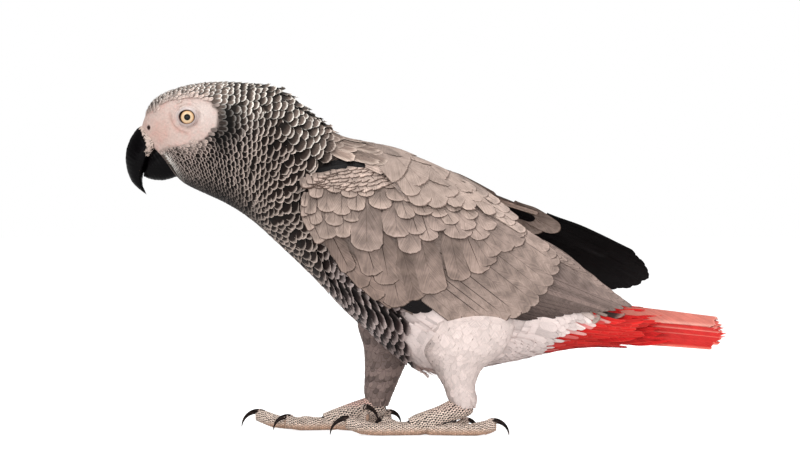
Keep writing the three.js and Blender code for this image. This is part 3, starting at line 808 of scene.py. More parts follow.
# The bare face in side view, and how far a point lies outside it.
FACE = np.array([
    (-160, 176), (-150, 181), (-145, 185.6), (-132, 188.4), (-120.5, 186.4), (-115.0, 179), (-115.4, 171.4),
    (-122.6, 164.2), (-132.0, 161.0), (-141.0, 159.6), (-147.5, 156.6), (-160, 150),
])


def outside_face(x, z):
    """Signed distance to the outline of the bare face in side view: below 0 inside it."""
    a, b = FACE, np.roll(FACE, -1, axis=0)
    p = np.stack([x, z], -1)[..., None, :]
    edge = b - a
    share = np.clip(((p - a) * edge).sum(-1) / (edge**2).sum(-1), 0, 1)
    distance = np.linalg.norm(p - a - share[..., None] * edge, axis=-1).min(-1)
    crosses = ((a[:, 1] > p[..., 1]) != (b[:, 1] > p[..., 1]))
    reach = a[:, 0] + (p[..., 1] - a[:, 1]) / np.where(edge[:, 1] == 0, 1e-9, edge[:, 1]) * edge[:, 0]
    inside = (crosses & (p[..., 0] < reach)).sum(-1) % 2 == 1
    return np.where(inside, -distance, distance)


def distance_to(line, x, z):
    """Distance in side view from points to a line through places."""
    a, b = np.array(line[:-1], float), np.array(line[1:], float)
    p = np.stack([x, z], -1)[..., None, :]
    share = np.clip(((p - a) * (b - a)).sum(-1) / ((b - a) ** 2).sum(-1), 0, 1)
    return np.linalg.norm(p - a - share[..., None] * (b - a), axis=-1).min(-1)


def wing_place(side_name, points):
    """Wing coordinates of points in side view."""
    slope = WINGS[side_name].slope
    dx, dz = points[..., 0] - WRIST[0], points[..., 2] - WRIST[1]
    return dx * math.cos(slope) - dz * math.sin(slope), dx * math.sin(slope) + dz * math.cos(slope)


WING_EDGE = [  # a, upper edge, lower edge
    (0, 3, -3), (9.7, 17, -18), (23.3, 31, -29), (58.2, 37, -36), (87.3, 36.5, -38.5), (116.4, 29, -34.5),
    (147.4, 19, -22), (174.6, 8, -9), (194, 1.5, -1.5),
]
WING_ROOM = 8  # how far from the middle plane the wings start
EDGE_COVER = 9.0  # how deep below a wing's edge the coat of the body ends


def under_wing(points):
    """Whether points of the body lie behind a wing, clear of its edges."""
    hidden = np.zeros(points.shape[:-1], bool)
    for side_name, side in SIDES.items():
        a, b = wing_place(side_name, points)
        row = lookup(WING_EDGE, a)
        covered = (b < row[..., 0] - EDGE_COVER) & (b > row[..., 1] + EDGE_COVER)
        hidden |= covered & (a > EDGE_COVER) & (a < 180) & (points[..., 1] * side > WING_ROOM)
    return hidden


WING_PRESS = 3.2


def wing_press(points):
    """How deep the feathers just below a folded wing are pressed in."""
    press = np.zeros(len(points))
    for side_name, side in SIDES.items():
        a, b = wing_place(side_name, points)
        below = lookup(WING_EDGE, a)[..., 1] - b
        near = smooth(10.0, 3.0, below) * smooth(0, 14, a) * smooth(148, 128, a) * (b < 4)
        press = np.maximum(press, WING_PRESS * near * (points[:, 1] * side > WING_ROOM))
    return press


# ------------------------------------------------------------------------------ the coat of the body

FEATHER_SIZE = [  # rib, spacing along the lie, width, length in spacings
    (0.3, 1.1, 1.7, 2.5), (1.2, 1.35, 2.1, 2.6), (2.0, 1.7, 2.8, 2.8), (3.0, 2.2, 4.2, 3.1),
    (3.6, 2.7, 6.4, 3.7),
    (4.2, 3.3, 8.8, 4.0), (5.2, 3.8, 10.2, 4.0), (6.0, 4.2, 9.8, 3.6), (7.0, 4.8, 9.0, 3.1),
    (10.0, 5.6, 9.4, 3.0),
]
COAT_DEPTH = [  # rib, depth
    (0, 0.3), (1, 0.5), (2, 0.9), (3, 1.4), (4, 2.2), (5, 3.0), (6, 3.6), (8, 4.0), (9, 4.0), (10, 5.0),
]


def coat_depth(s):
    return lookup(COAT_DEPTH, s)


RING_SAMPLES = 181
ROOT_SCATTER = 0.07  # of the spacing, along and across


def body_roots(start, end, size):
    """Roots of feathers on the body in staggered rows; size(s) begins with their pitch and width."""
    ring = np.linspace(-math.pi, math.pi, RING_SAMPLES)
    found = []
    s = start
    while s < end:
        pitch, width = size(np.array([s]))[0][:2]
        along, around = rates(BODY, np.full(RING_SAMPLES, s), ring)
        girth = np.concatenate([[0], np.cumsum((around[1:] + around[:-1]) / 2 * np.diff(ring))])
        share = 0.62 + 0.14 * smooth(3.6, 2.8, s)  # of a feather's width from one to the next
        number = max(8, round(girth[-1] / (width * share)))
        at = (np.arange(number) + 0.5 * (len(found) % 2) + rng.normal(0, ROOT_SCATTER, number)) / number
        t = np.interp((at % 1) * girth[-1], girth, ring)
        ds = pitch / np.median(along)
        found.append(np.stack([s + rng.normal(0, ROOT_SCATTER, number) * ds, t], -1))
        s += ds
    return np.concatenate(found)


OVER_WING = 2.5  # how far over the wing's surface the back's feathers lie
BACK_ROUNDING = 2.0


class Back:
    """The body's surface, pushed out to lie over the folded wings."""

    span_s, span_t = Body.span_s, Body.span_t

    def point(self, s, t, out=0.0):
        made = BODY.point(s, t, out)
        for side_name, side in SIDES.items():
            a, b = wing_place(side_name, made)
            own = made[..., 1] * side
            over = WINGS[side_name].point(a, b, OVER_WING + out)[..., 1] * side
            over = own + (over - own) * smooth(-4, 10, a)
            most = (own + over + np.sqrt((own - over) ** 2 + BACK_ROUNDING)) / 2
            made[..., 1] = np.where(own > 0, side * (own + (most - own) * smooth(0, 10, own)), made[..., 1])
        return made


BACK = Back()
MANTLE_RIBS = (4.7, 8.7)
MANTLE_TURN = 5.8  # the rib where the strips of the mantle give way to broad feathers
MANTLE_LIMIT = {"left": 30.5, "right": 29.3}  # no tip of the back's feathers lies lower on a wing
RUMP_RIBS = (6.9, 9.6)
RUMP_SIZE = (5.5, 11.0)  # pitch, width
MANTLE_HALF, RUMP_HALF = 0.55 * math.pi, 0.42 * math.pi  # how far they reach round the body
# The scapulars of the left side, from the deepest to the topmost: tip (a, b), slant, length, width.
SCAPULARS = [
    (104, 26.5, 24, 32, 11), (98, 30.5, 20, 32, 11), (92, 25.0, 27, 32, 11), (84.7, 25.0, 26, 32, 13),
    (75, 21.4, 32, 30, 15), (66, 18.8, 38, 27, 14), (88.2, 33.6, 15, 34, 12), (79.9, 28.9, 22, 30, 14),
    (82, 37.4, 10, 32, 12), (58.5, 21.6, 40, 24, 12), (73.2, 38.4, 8, 30, 13), (70.1, 31.6, 25, 28, 16),
    (62.2, 29.6, 22, 27, 17), (59.3, 39.6, 10, 27, 14), (49.8, 33.4, 20, 22, 14), (52, 42.0, 4, 26, 12),
    (42, 38.4, 8, 22, 11),
]


def mantle_size(s):
    """Pitch, width and length of the feathers of the back: long strips at the neck, broad further on."""
    on = smooth(5.4, 6.5, s)
    return np.stack([6.0 + 1.6 * on, 6.2 + 10.3 * on, 24.0 + 4.0 * on], -1)


def on_mantle(s, t):
    down = np.abs(t) / math.pi
    return (s > MANTLE_RIBS[0] + 0.9 * down) & (s < RUMP_RIBS[1]) & (down < 0.4)


def dress_mantle():
    """The feathers that flow from the neck over the back and the shoulders."""
    roots = body_roots(*MANTLE_RIBS, mantle_size)
    s, t = roots[:, 0] + rng.normal(0, 0.03, len(roots)), roots[:, 1]
    length = mantle_size(s)[:, 2] * rng.normal(1, 0.05, len(s))
    slant = rng.normal(0, 2.5, len(s)) + np.sign(t) * (4 + 8 * smooth(5.4, 6.5, s))
    along, around = rates(BACK, s, t)
    turn = np.radians(slant)
    tip = BACK.point(s + length * np.cos(turn) / along, t + length * np.sin(turn) / around)
    clear = np.ones(len(s), bool)
    for side_name, side in SIDES.items():
        clear &= (tip[:, 1] * side < 0) | (wing_place(side_name, tip)[1] > MANTLE_LIMIT[side_name])
    keep = (s > MANTLE_RIBS[0] + 1.2 * np.abs(t) / math.pi) & (np.abs(t) < MANTLE_HALF) & clear
    s, t, length, slant = s[keep], t[keep], length[keep], slant[keep]
    width = mantle_size(s)[:, 1] * rng.normal(1, 0.06, len(s))
    strips = feather_material(
        "mantle feathers", (70, 54, 47), 0.5, streak=0.35, root_shade=0.55, side_rim=1.0, rim_from=0.2,
        frayed=0.8, barb_pitch=1.7, rim_soft=(0.2, 2.2))
    broad = feather_material(
        "scapulars", (84, 68, 60), 0.5, streak=0.2, root_shade=0.85, side_rim=2.2, rim_from=0.4, frayed=1.1,
        rim_soft=(0.5, 2.0), band=0.12, mottle=0.12, barb_pitch=1.7, shaft_width=0.25)
    zones = [  # name, place, colours, material, rim, loose tips, arch, bend
        ("coat_mantle", s < MANTLE_TURN, MANTLE, strips, 1.0, 0.9, 0.08, 0.05),
        ("coat_back", s >= MANTLE_TURN, SCAPULAR, broad, 0.3, 0.0, 0.03, 0.02),
    ]
    for name, zone, tones, shader, rim_width, loose, camber, bend in zones:
        count = zone.sum()
        tints = varied(tones, rng.normal(1, 0.07, (count, 1)))
        feathers(
            name, BACK, s[zone], t[zone], length[zone], width[zone], shader, "body_plumage",
            slant=slant[zone], root=-2.2, tip=0.25 + loose * rng.random(count),
            roll=0.03 * np.sign(t[zone]), grid=(8, 14), neck=0.7, tip_width=0.95, tip_reach=1.0,
            ragged=0.01, camber=camber, rim_width=rim_width, thickness=0.1,
            curve=rng.normal(0, bend, count), barb_slant=2.0, **tints)
    dress_scapulars(broad)
    # The lower back, between the folded wings.
    roots = body_roots(*RUMP_RIBS, lambda s: [RUMP_SIZE])
    s, t = roots[np.abs(roots[:, 1]) < RUMP_HALF].T
    tints = varied(RUMP, rng.normal(1, 0.04, (len(s), 1)))
    feathers(
        "coat_rump", BODY, s, t, rng.normal(20, 1, len(s)), RUMP_SIZE[1], broad, "body_plumage",
        slant=rng.normal(0, 3, len(s)), root=-2.4, tip=0.3, roll=0.03 * np.sign(t), grid=(6, 8), neck=0.6,
        tip_width=0.95, tip_reach=1.0, ragged=0.012, camber=0.04, rim_width=0.6, **tints)


def dress_scapulars(shader):
    """The large feathers between back and wing, each named by the place of its tip in side view."""
    a, b, slant, length, width = np.array(SCAPULARS).T
    turn = np.radians(slant)
    s, t = (grid.ravel() for grid in np.meshgrid(np.linspace(4.0, 9.4, 260), np.linspace(0.0, 1.7, 220)))
    made = BACK.point(s, -t)

    def nearest(end_a, end_b):
        """The places of the back that lie at wing coordinates in side view."""
        x, _, z = WINGS["left"].point(end_a, end_b).T
        miss = np.hypot(made[:, 0] - x[:, None], made[:, 2] - z[:, None])
        found = miss.argmin(1)
        return s[found], t[found]

    root_s, root_t = nearest(a - length * np.cos(turn), b + length * np.sin(turn))
    tip_s, tip_t = nearest(a, b)
    rise = np.linspace(0.3, 1.5, len(a))
    for side_name, side in SIDES.items():
        along, around = rates(BACK, root_s, side * root_t)
        p, q = (tip_s - root_s) * along, side * (tip_t - root_t) * around
        vary = rng.normal(1, 0.03, (len(a), 1)) * (1 - 0.1 * smooth(66, 40, a))[:, None]
        feathers(
            "coat_scapulars_" + side_name, BACK, root_s, side * root_t, np.hypot(p, q), width, shader,
            "body_plumage", slant=np.degrees(np.arctan2(q, p)), root=rise - 0.8, tip=rise,
            roll=-0.012 * side, grid=(10, 16), neck=0.7, tip_width=0.95, tip_reach=0.9, ragged=0.008,
            camber=0.045, rim_width=0.45, barb_slant=2.0, **varied(SCAPULAR, vary))


PALE_FRINGE = ((218, 197, 187), (226, 206, 196))  # the small feathers that border the bare face
CHIN_SHADE = (18, 20, 20)


def dress_body():
    roots = body_roots(0.35, 9.9, lambda s: lookup(FEATHER_SIZE, s))
    s, t = roots.T
    points = BODY.point(s, t)
    bare = outside_face(points[:, 0], points[:, 2]) + rng.normal(0, 0.7, len(s))
    bill_room = (s < 0.7) & (np.abs(t) > 0.9)
    keep = (bare > -0.8) & ~under_wing(points) & ~bill_room & ~on_mantle(s - 0.25, t)
    s, t, points, bare = s[keep], t[keep], points[keep], bare[keep]
    x, _, z = points.T
    down = np.abs(t) / math.pi
    depth = coat_depth(s)
    press = np.minimum(wing_press(points), depth - 0.8)

    # The feathers are shorter near the bare face.
    spacing, width, overlap = lookup(FEATHER_SIZE, s).T
    near_face = smooth(7.0, -1.0, bare) * smooth(3.9, 3.3, s)
    width = width * (1 - 0.45 * near_face)
    length = spacing * overlap * (1 - 0.4 * near_face) * rng.normal(1, 0.05, len(s))

    # A pale fringe borders the face: widest under the cheek, narrow behind the eye, duller on the chin.
    centre, rim = body_colors(s, t)
    fringe_reach = 4.5 + 4.0 * smooth(168, 160, z) * smooth(-118, -128, x) * smooth(-142, -134, x)
    fringe_reach = fringe_reach - 3.0 * smooth(-123, -117, x) * smooth(188, 182, z)
    fringe = smooth(0, 1, (fringe_reach - bare) / (fringe_reach + 0.8)) * (s < 3.5)
    centre = mix(centre, PALE_FRINGE[0], fringe)
    chin_shade = np.array(CHIN_SHADE) * smooth(168, 162, z)[:, None]
    rim = mix(rim, np.array(PALE_FRINGE[1]) - chin_shade, fringe)
    # Rims under the head and throat are painted darker, as shade beneath the head.
    rim = rim * (1 - 0.55 * smooth(0.66, 0.9, down) * smooth(4.2, 3.0, s))[:, None]
    behind_face = smooth(10, 4, bare) * smooth(-124, -117, x) * smooth(186, 181, z)
    vary = rng.normal(1, 0.05, (len(s), 1)) * (1 - 0.45 * behind_face * (s < 4))[:, None]
    centre, rim = centre * vary, rim * vary

    # Those of the nape stand up a little, and those of the neck turn to its side.
    rim_width = 0.76 - 0.34 * smooth(3.6, 2.4, s) + 0.7 * smooth(5.4, 6.4, s) * smooth(0.35, 0.6, down)
    side_turn = np.sign(t) * 22 * smooth(3.2, 4.4, s) * smooth(6.4, 5.4, s) * smooth(0.15, 0.4, down)
    nape = smooth(3.4, 3.9, s) * smooth(5.7, 4.8, s) * smooth(0.5, 0.2, down)
    lift = 0.12 + nape * rng.uniform(0.2, 2.8, len(s)) + 0.25 * smooth(3.3, 4.2, s) * rng.random(len(s))

    crisp = feather_material(
        "body feathers", (14, 8, 7), 0.3, streak=0.4, root_shade=0.1, side_rim=2.0, rim_from=0.3,
        rim_soft=(0.0, 2.3), shade_over=(0.6, 0.98))
    fine = feather_material(
        "head feathers", (60, 46, 40), 0.2, streak=0.3, root_shade=0.35, side_rim=1.5, rim_from=0.3,
        rim_soft=(0.3, 2.0), shade_over=(0.45, 0.9))
    border = feather_material(
        "border feathers", (120, 100, 90), 0.3, streak=0.4, root_shade=0.95, side_rim=1.5, rim_from=0.3,
        rim_soft=(0.3, 2.0), frayed=0.9)
    edge = (bare < 2.4 - 1.4 * smooth(170, 164, z)) & (s < 3.7)
    chin = (bare < 8) & (z < 166) & (x < -119)
    light = (s < 2.6) & (down < 0.5) | ((s < 3.2) & (down < 0.3)) | chin
    zones = [
        ("coat_border", edge, (6, 5), border, "head_plumage"),
        ("coat_head", light & ~edge, (6, 5), fine, "head_plumage"),
        ("coat_cheeks", (s < 3.7) & ~light & ~edge, (6, 6), crisp, "head_plumage"),
        ("coat_neck", (s >= 3.7) & (s < 5.6), (8, 8), crisp, "head_plumage"),
        ("coat_breast", (s >= 5.6) & ~is_soft(s, t), (8, 8), crisp, "body_plumage"),
    ]
    for name, zone, grid, shader, slot_name in zones:
        count = zone.sum()
        feathers(
            name, BODY, s[zone], t[zone], length[zone], width[zone], shader, slot_name,
            slant=side_turn[zone] + rng.normal(0, 3.5, count), root=-depth[zone] * 0.75 - press[zone],
            tip=lift[zone] - press[zone], roll=0.04 * np.sign(t[zone]) + rng.normal(0, 0.02, count),
            grid=grid, rim_width=rim_width[zone], centre=centre[zone], rim=rim[zone], ragged=0.012,
            thickness=0.1, tip_width=0.95, tip_reach=0.95, camber=0.05, neck=0.5)


def is_soft(s, t):
    """Whether down clads a place on the body: behind the legs, and round the vent and the tail's root."""
    down = np.abs(t) / math.pi
    return (s - (down - 0.6) > 7.3) & (down > 0.3)


def scallops(along, across, size):
    """1 on the rounded edges of a pattern of rows, 0 between them: how feathers show faintly below down."""
    row = np.floor(along / size)
    x = (across / size + 0.5 * row) % 1 - 0.5
    reach = (along / size) % 1 + 1.4 * x * x
    return smooth(0.72, 0.95, reach) * smooth(1.2, 1.0, reach)


def down_material(name, streak, root_shade):
    return feather_material(name, (200, 182, 176), 0.0, streak=streak, roughness=0.85, root_shade=root_shade,
                            side_rim=1.2, relief=0.12, mottle=0.03)


def lay_down(name, surface, s, t, length, width, slant, centre, rim, shader, slot_name, tip, root=-0.4):
    """Soft feathers that lie so flat that their edges hardly show."""
    feathers(
        name, surface, s, t, length, width, shader, slot_name, slant=slant, root=root, tip=tip, grid=(6, 7),
        neck=0.8, widest=0.3, tip_width=0.85, tip_reach=1.3, ragged=0.01, camber=0.01, thickness=0.04,
        rim_width=0.5, roll=0.01, centre=centre, rim=rim)


DOWN_SIZE = (4.2, 5.0)  # pitch, width
TUFT_COLORS = ((232, 206, 199), (248, 230, 224))
TUFT_COUNT = 60


def dress_vent():
    shader = down_material("down", 0.08, 0.93)
    roots = body_roots(6.7, 10.35, lambda s: [DOWN_SIZE])
    s, t = roots[:, 0] + rng.normal(0, 0.02, len(roots)), roots[:, 1]
    points = BODY.point(s, t)
    edge = s - (np.abs(t) / math.pi - 0.6)
    keep = is_soft(s, t) & ~under_wing(points) & ((edge > 7.5) | (points[:, 2] < 64))
    s, t, points, edge = s[keep], t[keep], points[keep], edge[keep]
    count = len(s)
    fresh = smooth(7.3, 7.9, edge)
    centre, rim = body_colors(np.minimum(s + np.maximum(7.6 - edge, 0), 10), t)
    girth = t * np.linalg.norm(points[:, 1:] - [0, 60], axis=-1)
    place_red = s - 1.1 * (0.85 - np.abs(t) / math.pi)
    red = smooth(9.0, 9.2, place_red)
    last = smooth(8.3, 8.8, place_red) * (1 - red)  # the last white feathers lie over the first red ones
    shade = rng.normal(1, 0.015 + 0.03 * red) - 0.09 * (1 - red) * scallops(s * 38, girth, 10.0)
    press = np.minimum(wing_press(points), 2.8)
    lay_down(
        "coat_vent", BODY, s, t, rng.normal(17, 1.0, count) + 3 * red - 3 * last,
        6.4 - 3.4 * smooth(8.9, 9.1, place_red), rng.normal(0, 5, count) + 6 * np.sign(t) * (1 - red),
        centre * shade[:, None], rim * shade[:, None], shader, "body_plumage",
        tip=rng.uniform(0, 0.05 + 0.2 * red) + fresh - 0.9 - press + 0.8 * last,
        root=1.5 * fresh - 2.0 - press + 0.3 * last)
    # A loose tuft hangs between the legs.
    s, t = rng.uniform(7.75, 8.1, TUFT_COUNT), math.pi + rng.uniform(-0.3, 0.3, TUFT_COUNT)
    lay_down(
        "coat_tuft", BODY, s, t, rng.normal(13, 2, TUFT_COUNT), 1.8, rng.normal(0, 12, TUFT_COUNT),
        *TUFT_COLORS, shader, "body_plumage", tip=rng.uniform(0.3, 3.0, TUFT_COUNT), root=-1.8)


# ------------------------------------------------------------------------------ skin

VOXEL = 0.0011
SKIN_FLOOR = 0.15  # the lowest height of the skin of the feet
FLESH_DEPTH = 3.0  # how deep the flesh of a wing lies below its surface
FLESH_SPAN = (5, 118)  # where it starts and ends along the wing
FLESH_SHARE = (0.86, 0.72)  # of the way to the wing's upper and lower edge
THIGH_DEPTH, TARSUS_DEPTH, TOE_DEPTH = 1.6, 0.45, 0.4  # of the skin below a limb's surface


def fuse(name, grids):
    """One closed mesh around several overlapping tubes."""
    points, faces, count = [], [], 0
    for grid in grids:
        vertices, tube_faces = tube_mesh(grid)
        points.append(vertices)
        faces += [tuple(k + count for k in face) for face in tube_faces]
        count += len(vertices)
    made = closed_object(name, np.vstack(points), faces)
    remesh = made.modifiers.new("fuse", "REMESH")
    remesh.mode = "VOXEL"
    remesh.voxel_size = VOXEL
    graph = bpy.context.evaluated_depsgraph_get()
    fused = bpy.data.meshes.new_from_object(made.evaluated_get(graph))
    made.modifiers.clear()
    made.data = fused
    return made


RELAX_STEPS = (0.6, -0.62)  # in, and a little more out


def relax(mesh, rounds):
    """Evens out the stair-steps that fusing leaves, each round with a step out against shrinking."""
    edges = read_edges(mesh)
    points = read_points(mesh)
    degree = np.bincount(edges.ravel(), minlength=len(points))[:, None]
    for pull in RELAX_STEPS * rounds:
        total = np.zeros_like(points)
        for axis in range(3):
            total[:, axis] = np.bincount(edges[:, 0], points[edges[:, 1], axis], len(points))
            total[:, axis] += np.bincount(edges[:, 1], points[edges[:, 0], axis], len(points))
        points += (total / degree - points) * pull
    write_points(mesh, points)


def refine(mesh, wanted):
    """Splits the faces whose middles are wanted."""
    work = bmesh.new()
    work.from_mesh(mesh)
    work.faces.ensure_lookup_table()
    middles = np.array([face.calc_center_median()[:] for face in work.faces])
    chosen = wanted(*((middles - ORIGIN) / MM).T)
    edges = {edge for face, yes in zip(work.faces, chosen) if yes for edge in face.edges}
    bmesh.ops.subdivide_edges(work, edges=list(edges), cuts=1, use_grid_fill=True, smooth=0.0)
    work.to_mesh(mesh)
    work.free()


def eye_frame(side_name):
    """Centre of the eyeball, the way it looks, and two axes across that."""
    side = SIDES[side_name]
    centre = np.array([EYE_AT[0], side * (body_side(*EYE_AT) - EYE_SUNK), EYE_AT[1]])
    gaze = unit(np.array([-0.02, side, 0.0]))
    ahead = unit(np.cross(gaze, [0, 0, 1.0]) * side)
    up = np.cross(ahead, gaze) * side
    return centre, gaze, ahead, up


OPENING = (4.25, 3.75)  # half-length and half-height of the eye's opening
LID_REACH = 13  # from the middle of the eye out to where the lids' folds have run out


def shape_lids(points):
    """Lays the skin over the eyeballs, with a rim around each opening and creases outside it."""
    for side_name in SIDES:
        centre, gaze, ahead, up = eye_frame(side_name)
        local = points - centre
        x, y, z = local @ ahead, local @ up, local @ gaze
        near = (np.hypot(x, y) < LID_REACH) & (z > 0)
        x, y, z = x[near], y[near], z[near]
        radius, angle = np.hypot(x, y), np.arctan2(y, x)
        opening = OPENING[0] * OPENING[1] / np.hypot(OPENING[1] * np.cos(angle), OPENING[0] * np.sin(angle))
        gap = radius - opening
        ball = np.sqrt(np.maximum(EYE_RADIUS**2 - np.minimum(radius, EYE_RADIUS - 0.05) ** 2, 0))
        # The lid has a rim, a fold outside it and fine beads; the socket's skin hides in the eyeball.
        lid = ball + 0.28 + 0.5 * bell(gap - 0.75, 0.55) + 0.22 * bell(gap - 2.1, 0.35)
        beads = np.sin(angle * 26 + np.sin(angle * 5) * 2) * smooth(0.2, 1.0, gap) * smooth(2.6, 1.4, gap)
        height = np.where(gap < 0, ball - 1.3, lid + 0.1 * beads)
        height = height + (ball + 0.34 - height) * bell(gap, 0.16) * (gap >= -0.1)
        # Round it run a trough and creases that fade into the face.
        folds = np.sin(gap * 3.6 + 0.8 * np.sin(angle * 2)) * smooth(2.4, 3.2, gap) * smooth(6.5, 4.2, gap)
        trough = 0.55 * bell(gap - 2.9, 0.8) * smooth(1.9, 2.6, gap)
        share = smooth(3.1, 1.9, gap)
        z_new = height * share + (z + 0.16 * folds - trough) * (1 - share)
        points[near] += (z_new - z)[:, None] * gaze
    return points


CERE = (-152.0, 169.5)
NOSTRIL = (-153.4, 170.8)
EYE_FOLD = [(-141.2, 178.4), (-140.4, 174.6), (-138.4, 171.2), (-135.4, 168.8), (-131.6, 167.6)]


def shape_face(points):
    """The swollen cere with its nostrils, and fine creases in the bare skin."""
    x, y, z = points.T
    side = np.sign(y)
    cere = smooth(9.0, 2.0, np.hypot(x - CERE[0], z - CERE[1])) * smooth(3.0, 6.0, np.abs(y))
    y = y + side * cere * 1.1
    hole = np.hypot((x - NOSTRIL[0]) / 0.75, (z - NOSTRIL[1]) / 1.1)
    pit = (np.exp(-(hole**3)) * 2.6 - 0.35 * bell(hole - 1.7, 0.5)) * (np.abs(y) > 3)
    y = y - side * pit
    bare = smooth(2.0, -1.5, outside_face(x, z))
    lines = np.sin(1.9 * (z + 0.35 * x) + 1.3 * np.sin(0.55 * x)) * np.sin(0.9 * x + 0.7 * z)
    beside_nostril = smooth(3.0, 6.0, np.hypot(x - NOSTRIL[0], z - NOSTRIL[1]))
    y = y + side * 0.15 * lines * bare * beside_nostril
    y = y - side * 0.4 * bell(distance_to(EYE_FOLD, x, z), 0.8) * bare
    return np.stack([x, y, z], -1)


def coat_tones(points):
    """The colours of the feathers over points of the skin, darkened."""
    s, t = (grid.ravel() for grid in np.meshgrid(np.linspace(0, 10, 160), np.linspace(-math.pi, math.pi, 97)))
    cloud = BODY.point(s, t, -2.0)
    tree = kdtree.KDTree(len(cloud))
    for k, p in enumerate(cloud):
        tree.insert(p, k)
    tree.balance()
    nearest = np.array([tree.find(p)[1] for p in points])
    centre, _ = body_colors(s[nearest], t[nearest])
    return centre * (0.75 + 0.2 * (centre[:, 1:2] > 190))


def skin_tones(points):
    """Colours under the coat: the same markings as the feathers, and the bare skin of face and legs."""
    x, y, z = points.T

    def spot(at, size):
        """1 at a place in side view, falling off around it."""
        return np.exp(-(((x - at[0]) / size[0]) ** 2 + ((z - at[1]) / size[1]) ** 2))

    bare = smooth(1.8, -0.6, outside_face(x, z)) * (x < -105)
    pale = spot((-123, 179), (11, 8)) * bare
    layers = [
        ((206, 184, 175), bare),
        ((204, 160, 146), spot((-147, 168), (7, 7)) * bare * 0.5),
        ((222, 207, 200), pale * 0.8),
        # The crease below the eye is painted darker, as shade in the fold.
        ((176, 138, 126), bell(distance_to(EYE_FOLD, x, z), 1.0) * bare * 0.5),
    ]
    for side_name in SIDES:
        centre, gaze, ahead, up = eye_frame(side_name)
        local = points - centre
        gap = np.hypot(local @ ahead, (local @ up) * OPENING[0] / OPENING[1]) - OPENING[0]
        facing = (local @ gaze) > 0
        layers.append(((206, 196, 194), bell(gap - 1.0, 1.3) * facing * 0.8))
        layers.append(((48, 32, 28), bell(gap - 0.05, 0.3) * facing))
    # The nostril is painted near black, as shade inside its opening.
    nostril = np.exp(-(np.hypot((x - NOSTRIL[0]) / 0.9, (z - NOSTRIL[1]) / 1.2) ** 4))
    layers.append(((22, 12, 12), nostril))
    near_thigh = smooth(70, 60, z) * (x > -8) * (x < 56) * (y < 0) * (np.abs(y) > 9)
    layers.append(((232, 212, 207), near_thigh))
    for side_name, side in SIDES.items():
        a, b = wing_place(side_name, points)
        below = (WINGS[side_name].point(a, b)[:, 1] - y) * side
        on_wing = smooth(7.5, 5.5, below) * (a > 2) * (a < 122) * (b > -40) * (side * y > WING_ROOM)
        layers.append(((128, 111, 102), on_wing))
    leg = smooth(37.0, 24.0, z) * (x > -108) * (x < 62)
    layers.append(((196, 170, 162), leg))
    layers.append((mix((176, 142, 120), (38, 27, 26), smooth(2.5, 7.5, z)), smooth(21.0, 17.0, z) * leg))
    for side_name in SIDES:
        for toe in TOES[side_name]:
            end = toe_surface(side_name, toe).point(np.ones(8), np.linspace(0, 2 * math.pi, 8)).mean(0)
            layers.append(((204, 166, 142), smooth(3.4, 2.2, np.linalg.norm(points - end, axis=-1))))
    tone = coat_tones(points)
    for color, share in layers:
        tone = mix(tone, color, share)
    return tone, bare * (1 - 0.7 * pale)


def wing_flesh(side_name):
    """The arm and hand inside the folded wing: a thin closed blade."""
    share = np.linspace(0, 1, 24)
    half = 0.35 + 1.15 * np.sin(math.pi * share)
    rings = []
    for a in np.linspace(*FLESH_SPAN, 40):
        squeeze = 1 - 0.55 * smooth(70, FLESH_SPAN[1], a)
        upper, lower = lookup(WING_EDGE, a) * FLESH_SHARE * squeeze - [2, 0]
        b = upper + (lower - upper) * share
        front, back = (WINGS[side_name].point(np.full(24, a), b, -FLESH_DEPTH + out) for out in (half, -half))
        rings.append(np.vstack([front, back[::-1]]))
    return np.array(rings)


def make_skin():
    grids = [surface_grid(BODY, (0.0, 9.95), 90, 96, lambda s: -coat_depth(s))]
    nodes = ["head", "neck", "trunk"]
    for side_name in SIDES:
        grids.append(surface_grid(thigh_surface(side_name), (0.08, 1), 30, 40, -THIGH_DEPTH))
        foot = [surface_grid(tarsus_surface(side_name), (0, 1), 30, 40, -TARSUS_DEPTH)]
        toes = [toe_surface(side_name, toe) for toe in TOES[side_name]]
        foot += [surface_grid(surface, (0, 1), 30, 24, -TOE_DEPTH) for surface in toes]
        grids += [np.maximum(grid, [-np.inf, -np.inf, SKIN_FLOOR]) for grid in foot]
        grids.append(wing_flesh(side_name))
        nodes += ["thigh_" + side_name, "tarsus_" + side_name, "wing_" + side_name]
        nodes += [f"toe_{side_name}_{toe[0]}" for toe in TOES[side_name]]
    made = fuse("skin", grids)
    relax(made.data, 3)

    def on_face(x, _, z):
        return (outside_face(x, z) < 1.5) & (x < -108) & (x > -161)

    def round_eyes_and_nostrils(x, y, z):
        eyes = np.hypot(x - EYE_AT[0], z - EYE_AT[1]) < 9.5
        nostrils = np.hypot(x - NOSTRIL[0], z - NOSTRIL[1]) < 4.0
        return (eyes | nostrils) & (np.abs(y) > 4)

    refine(made.data, on_face)
    refine(made.data, round_eyes_and_nostrils)
    points = shape_lids(shape_face(read_points(made.data)))
    write_points(made.data, points)
    tone, bare = skin_tones(points)
    add_attribute(made, "tone", "FLOAT_COLOR", with_alpha(linear(tone)))
    add_attribute(made, "bare", "FLOAT", bare)
    made.data.shade_smooth()
    made.data.materials.clear()
    dress(made, skin_material(), "foot_skin", *nodes)


# ------------------------------------------------------------------------------ bill and eyes

SHELL_RINGS, SHELL_SIDES = 70, 56
WORN_STRIP = [(-157.6, 171.6), (-155.4, 168.0), (-153.6, 164.0), (-152.6, 160.4), (-153.8, 157.0)]
GAPE_FOLD = [(-153.6, 165.6), (-150.8, 164.0), (-148.8, 161.6), (-147.0, 160.6)]
CHIN_FLAKE = -144.0  # x of the pale patch under the lower bill


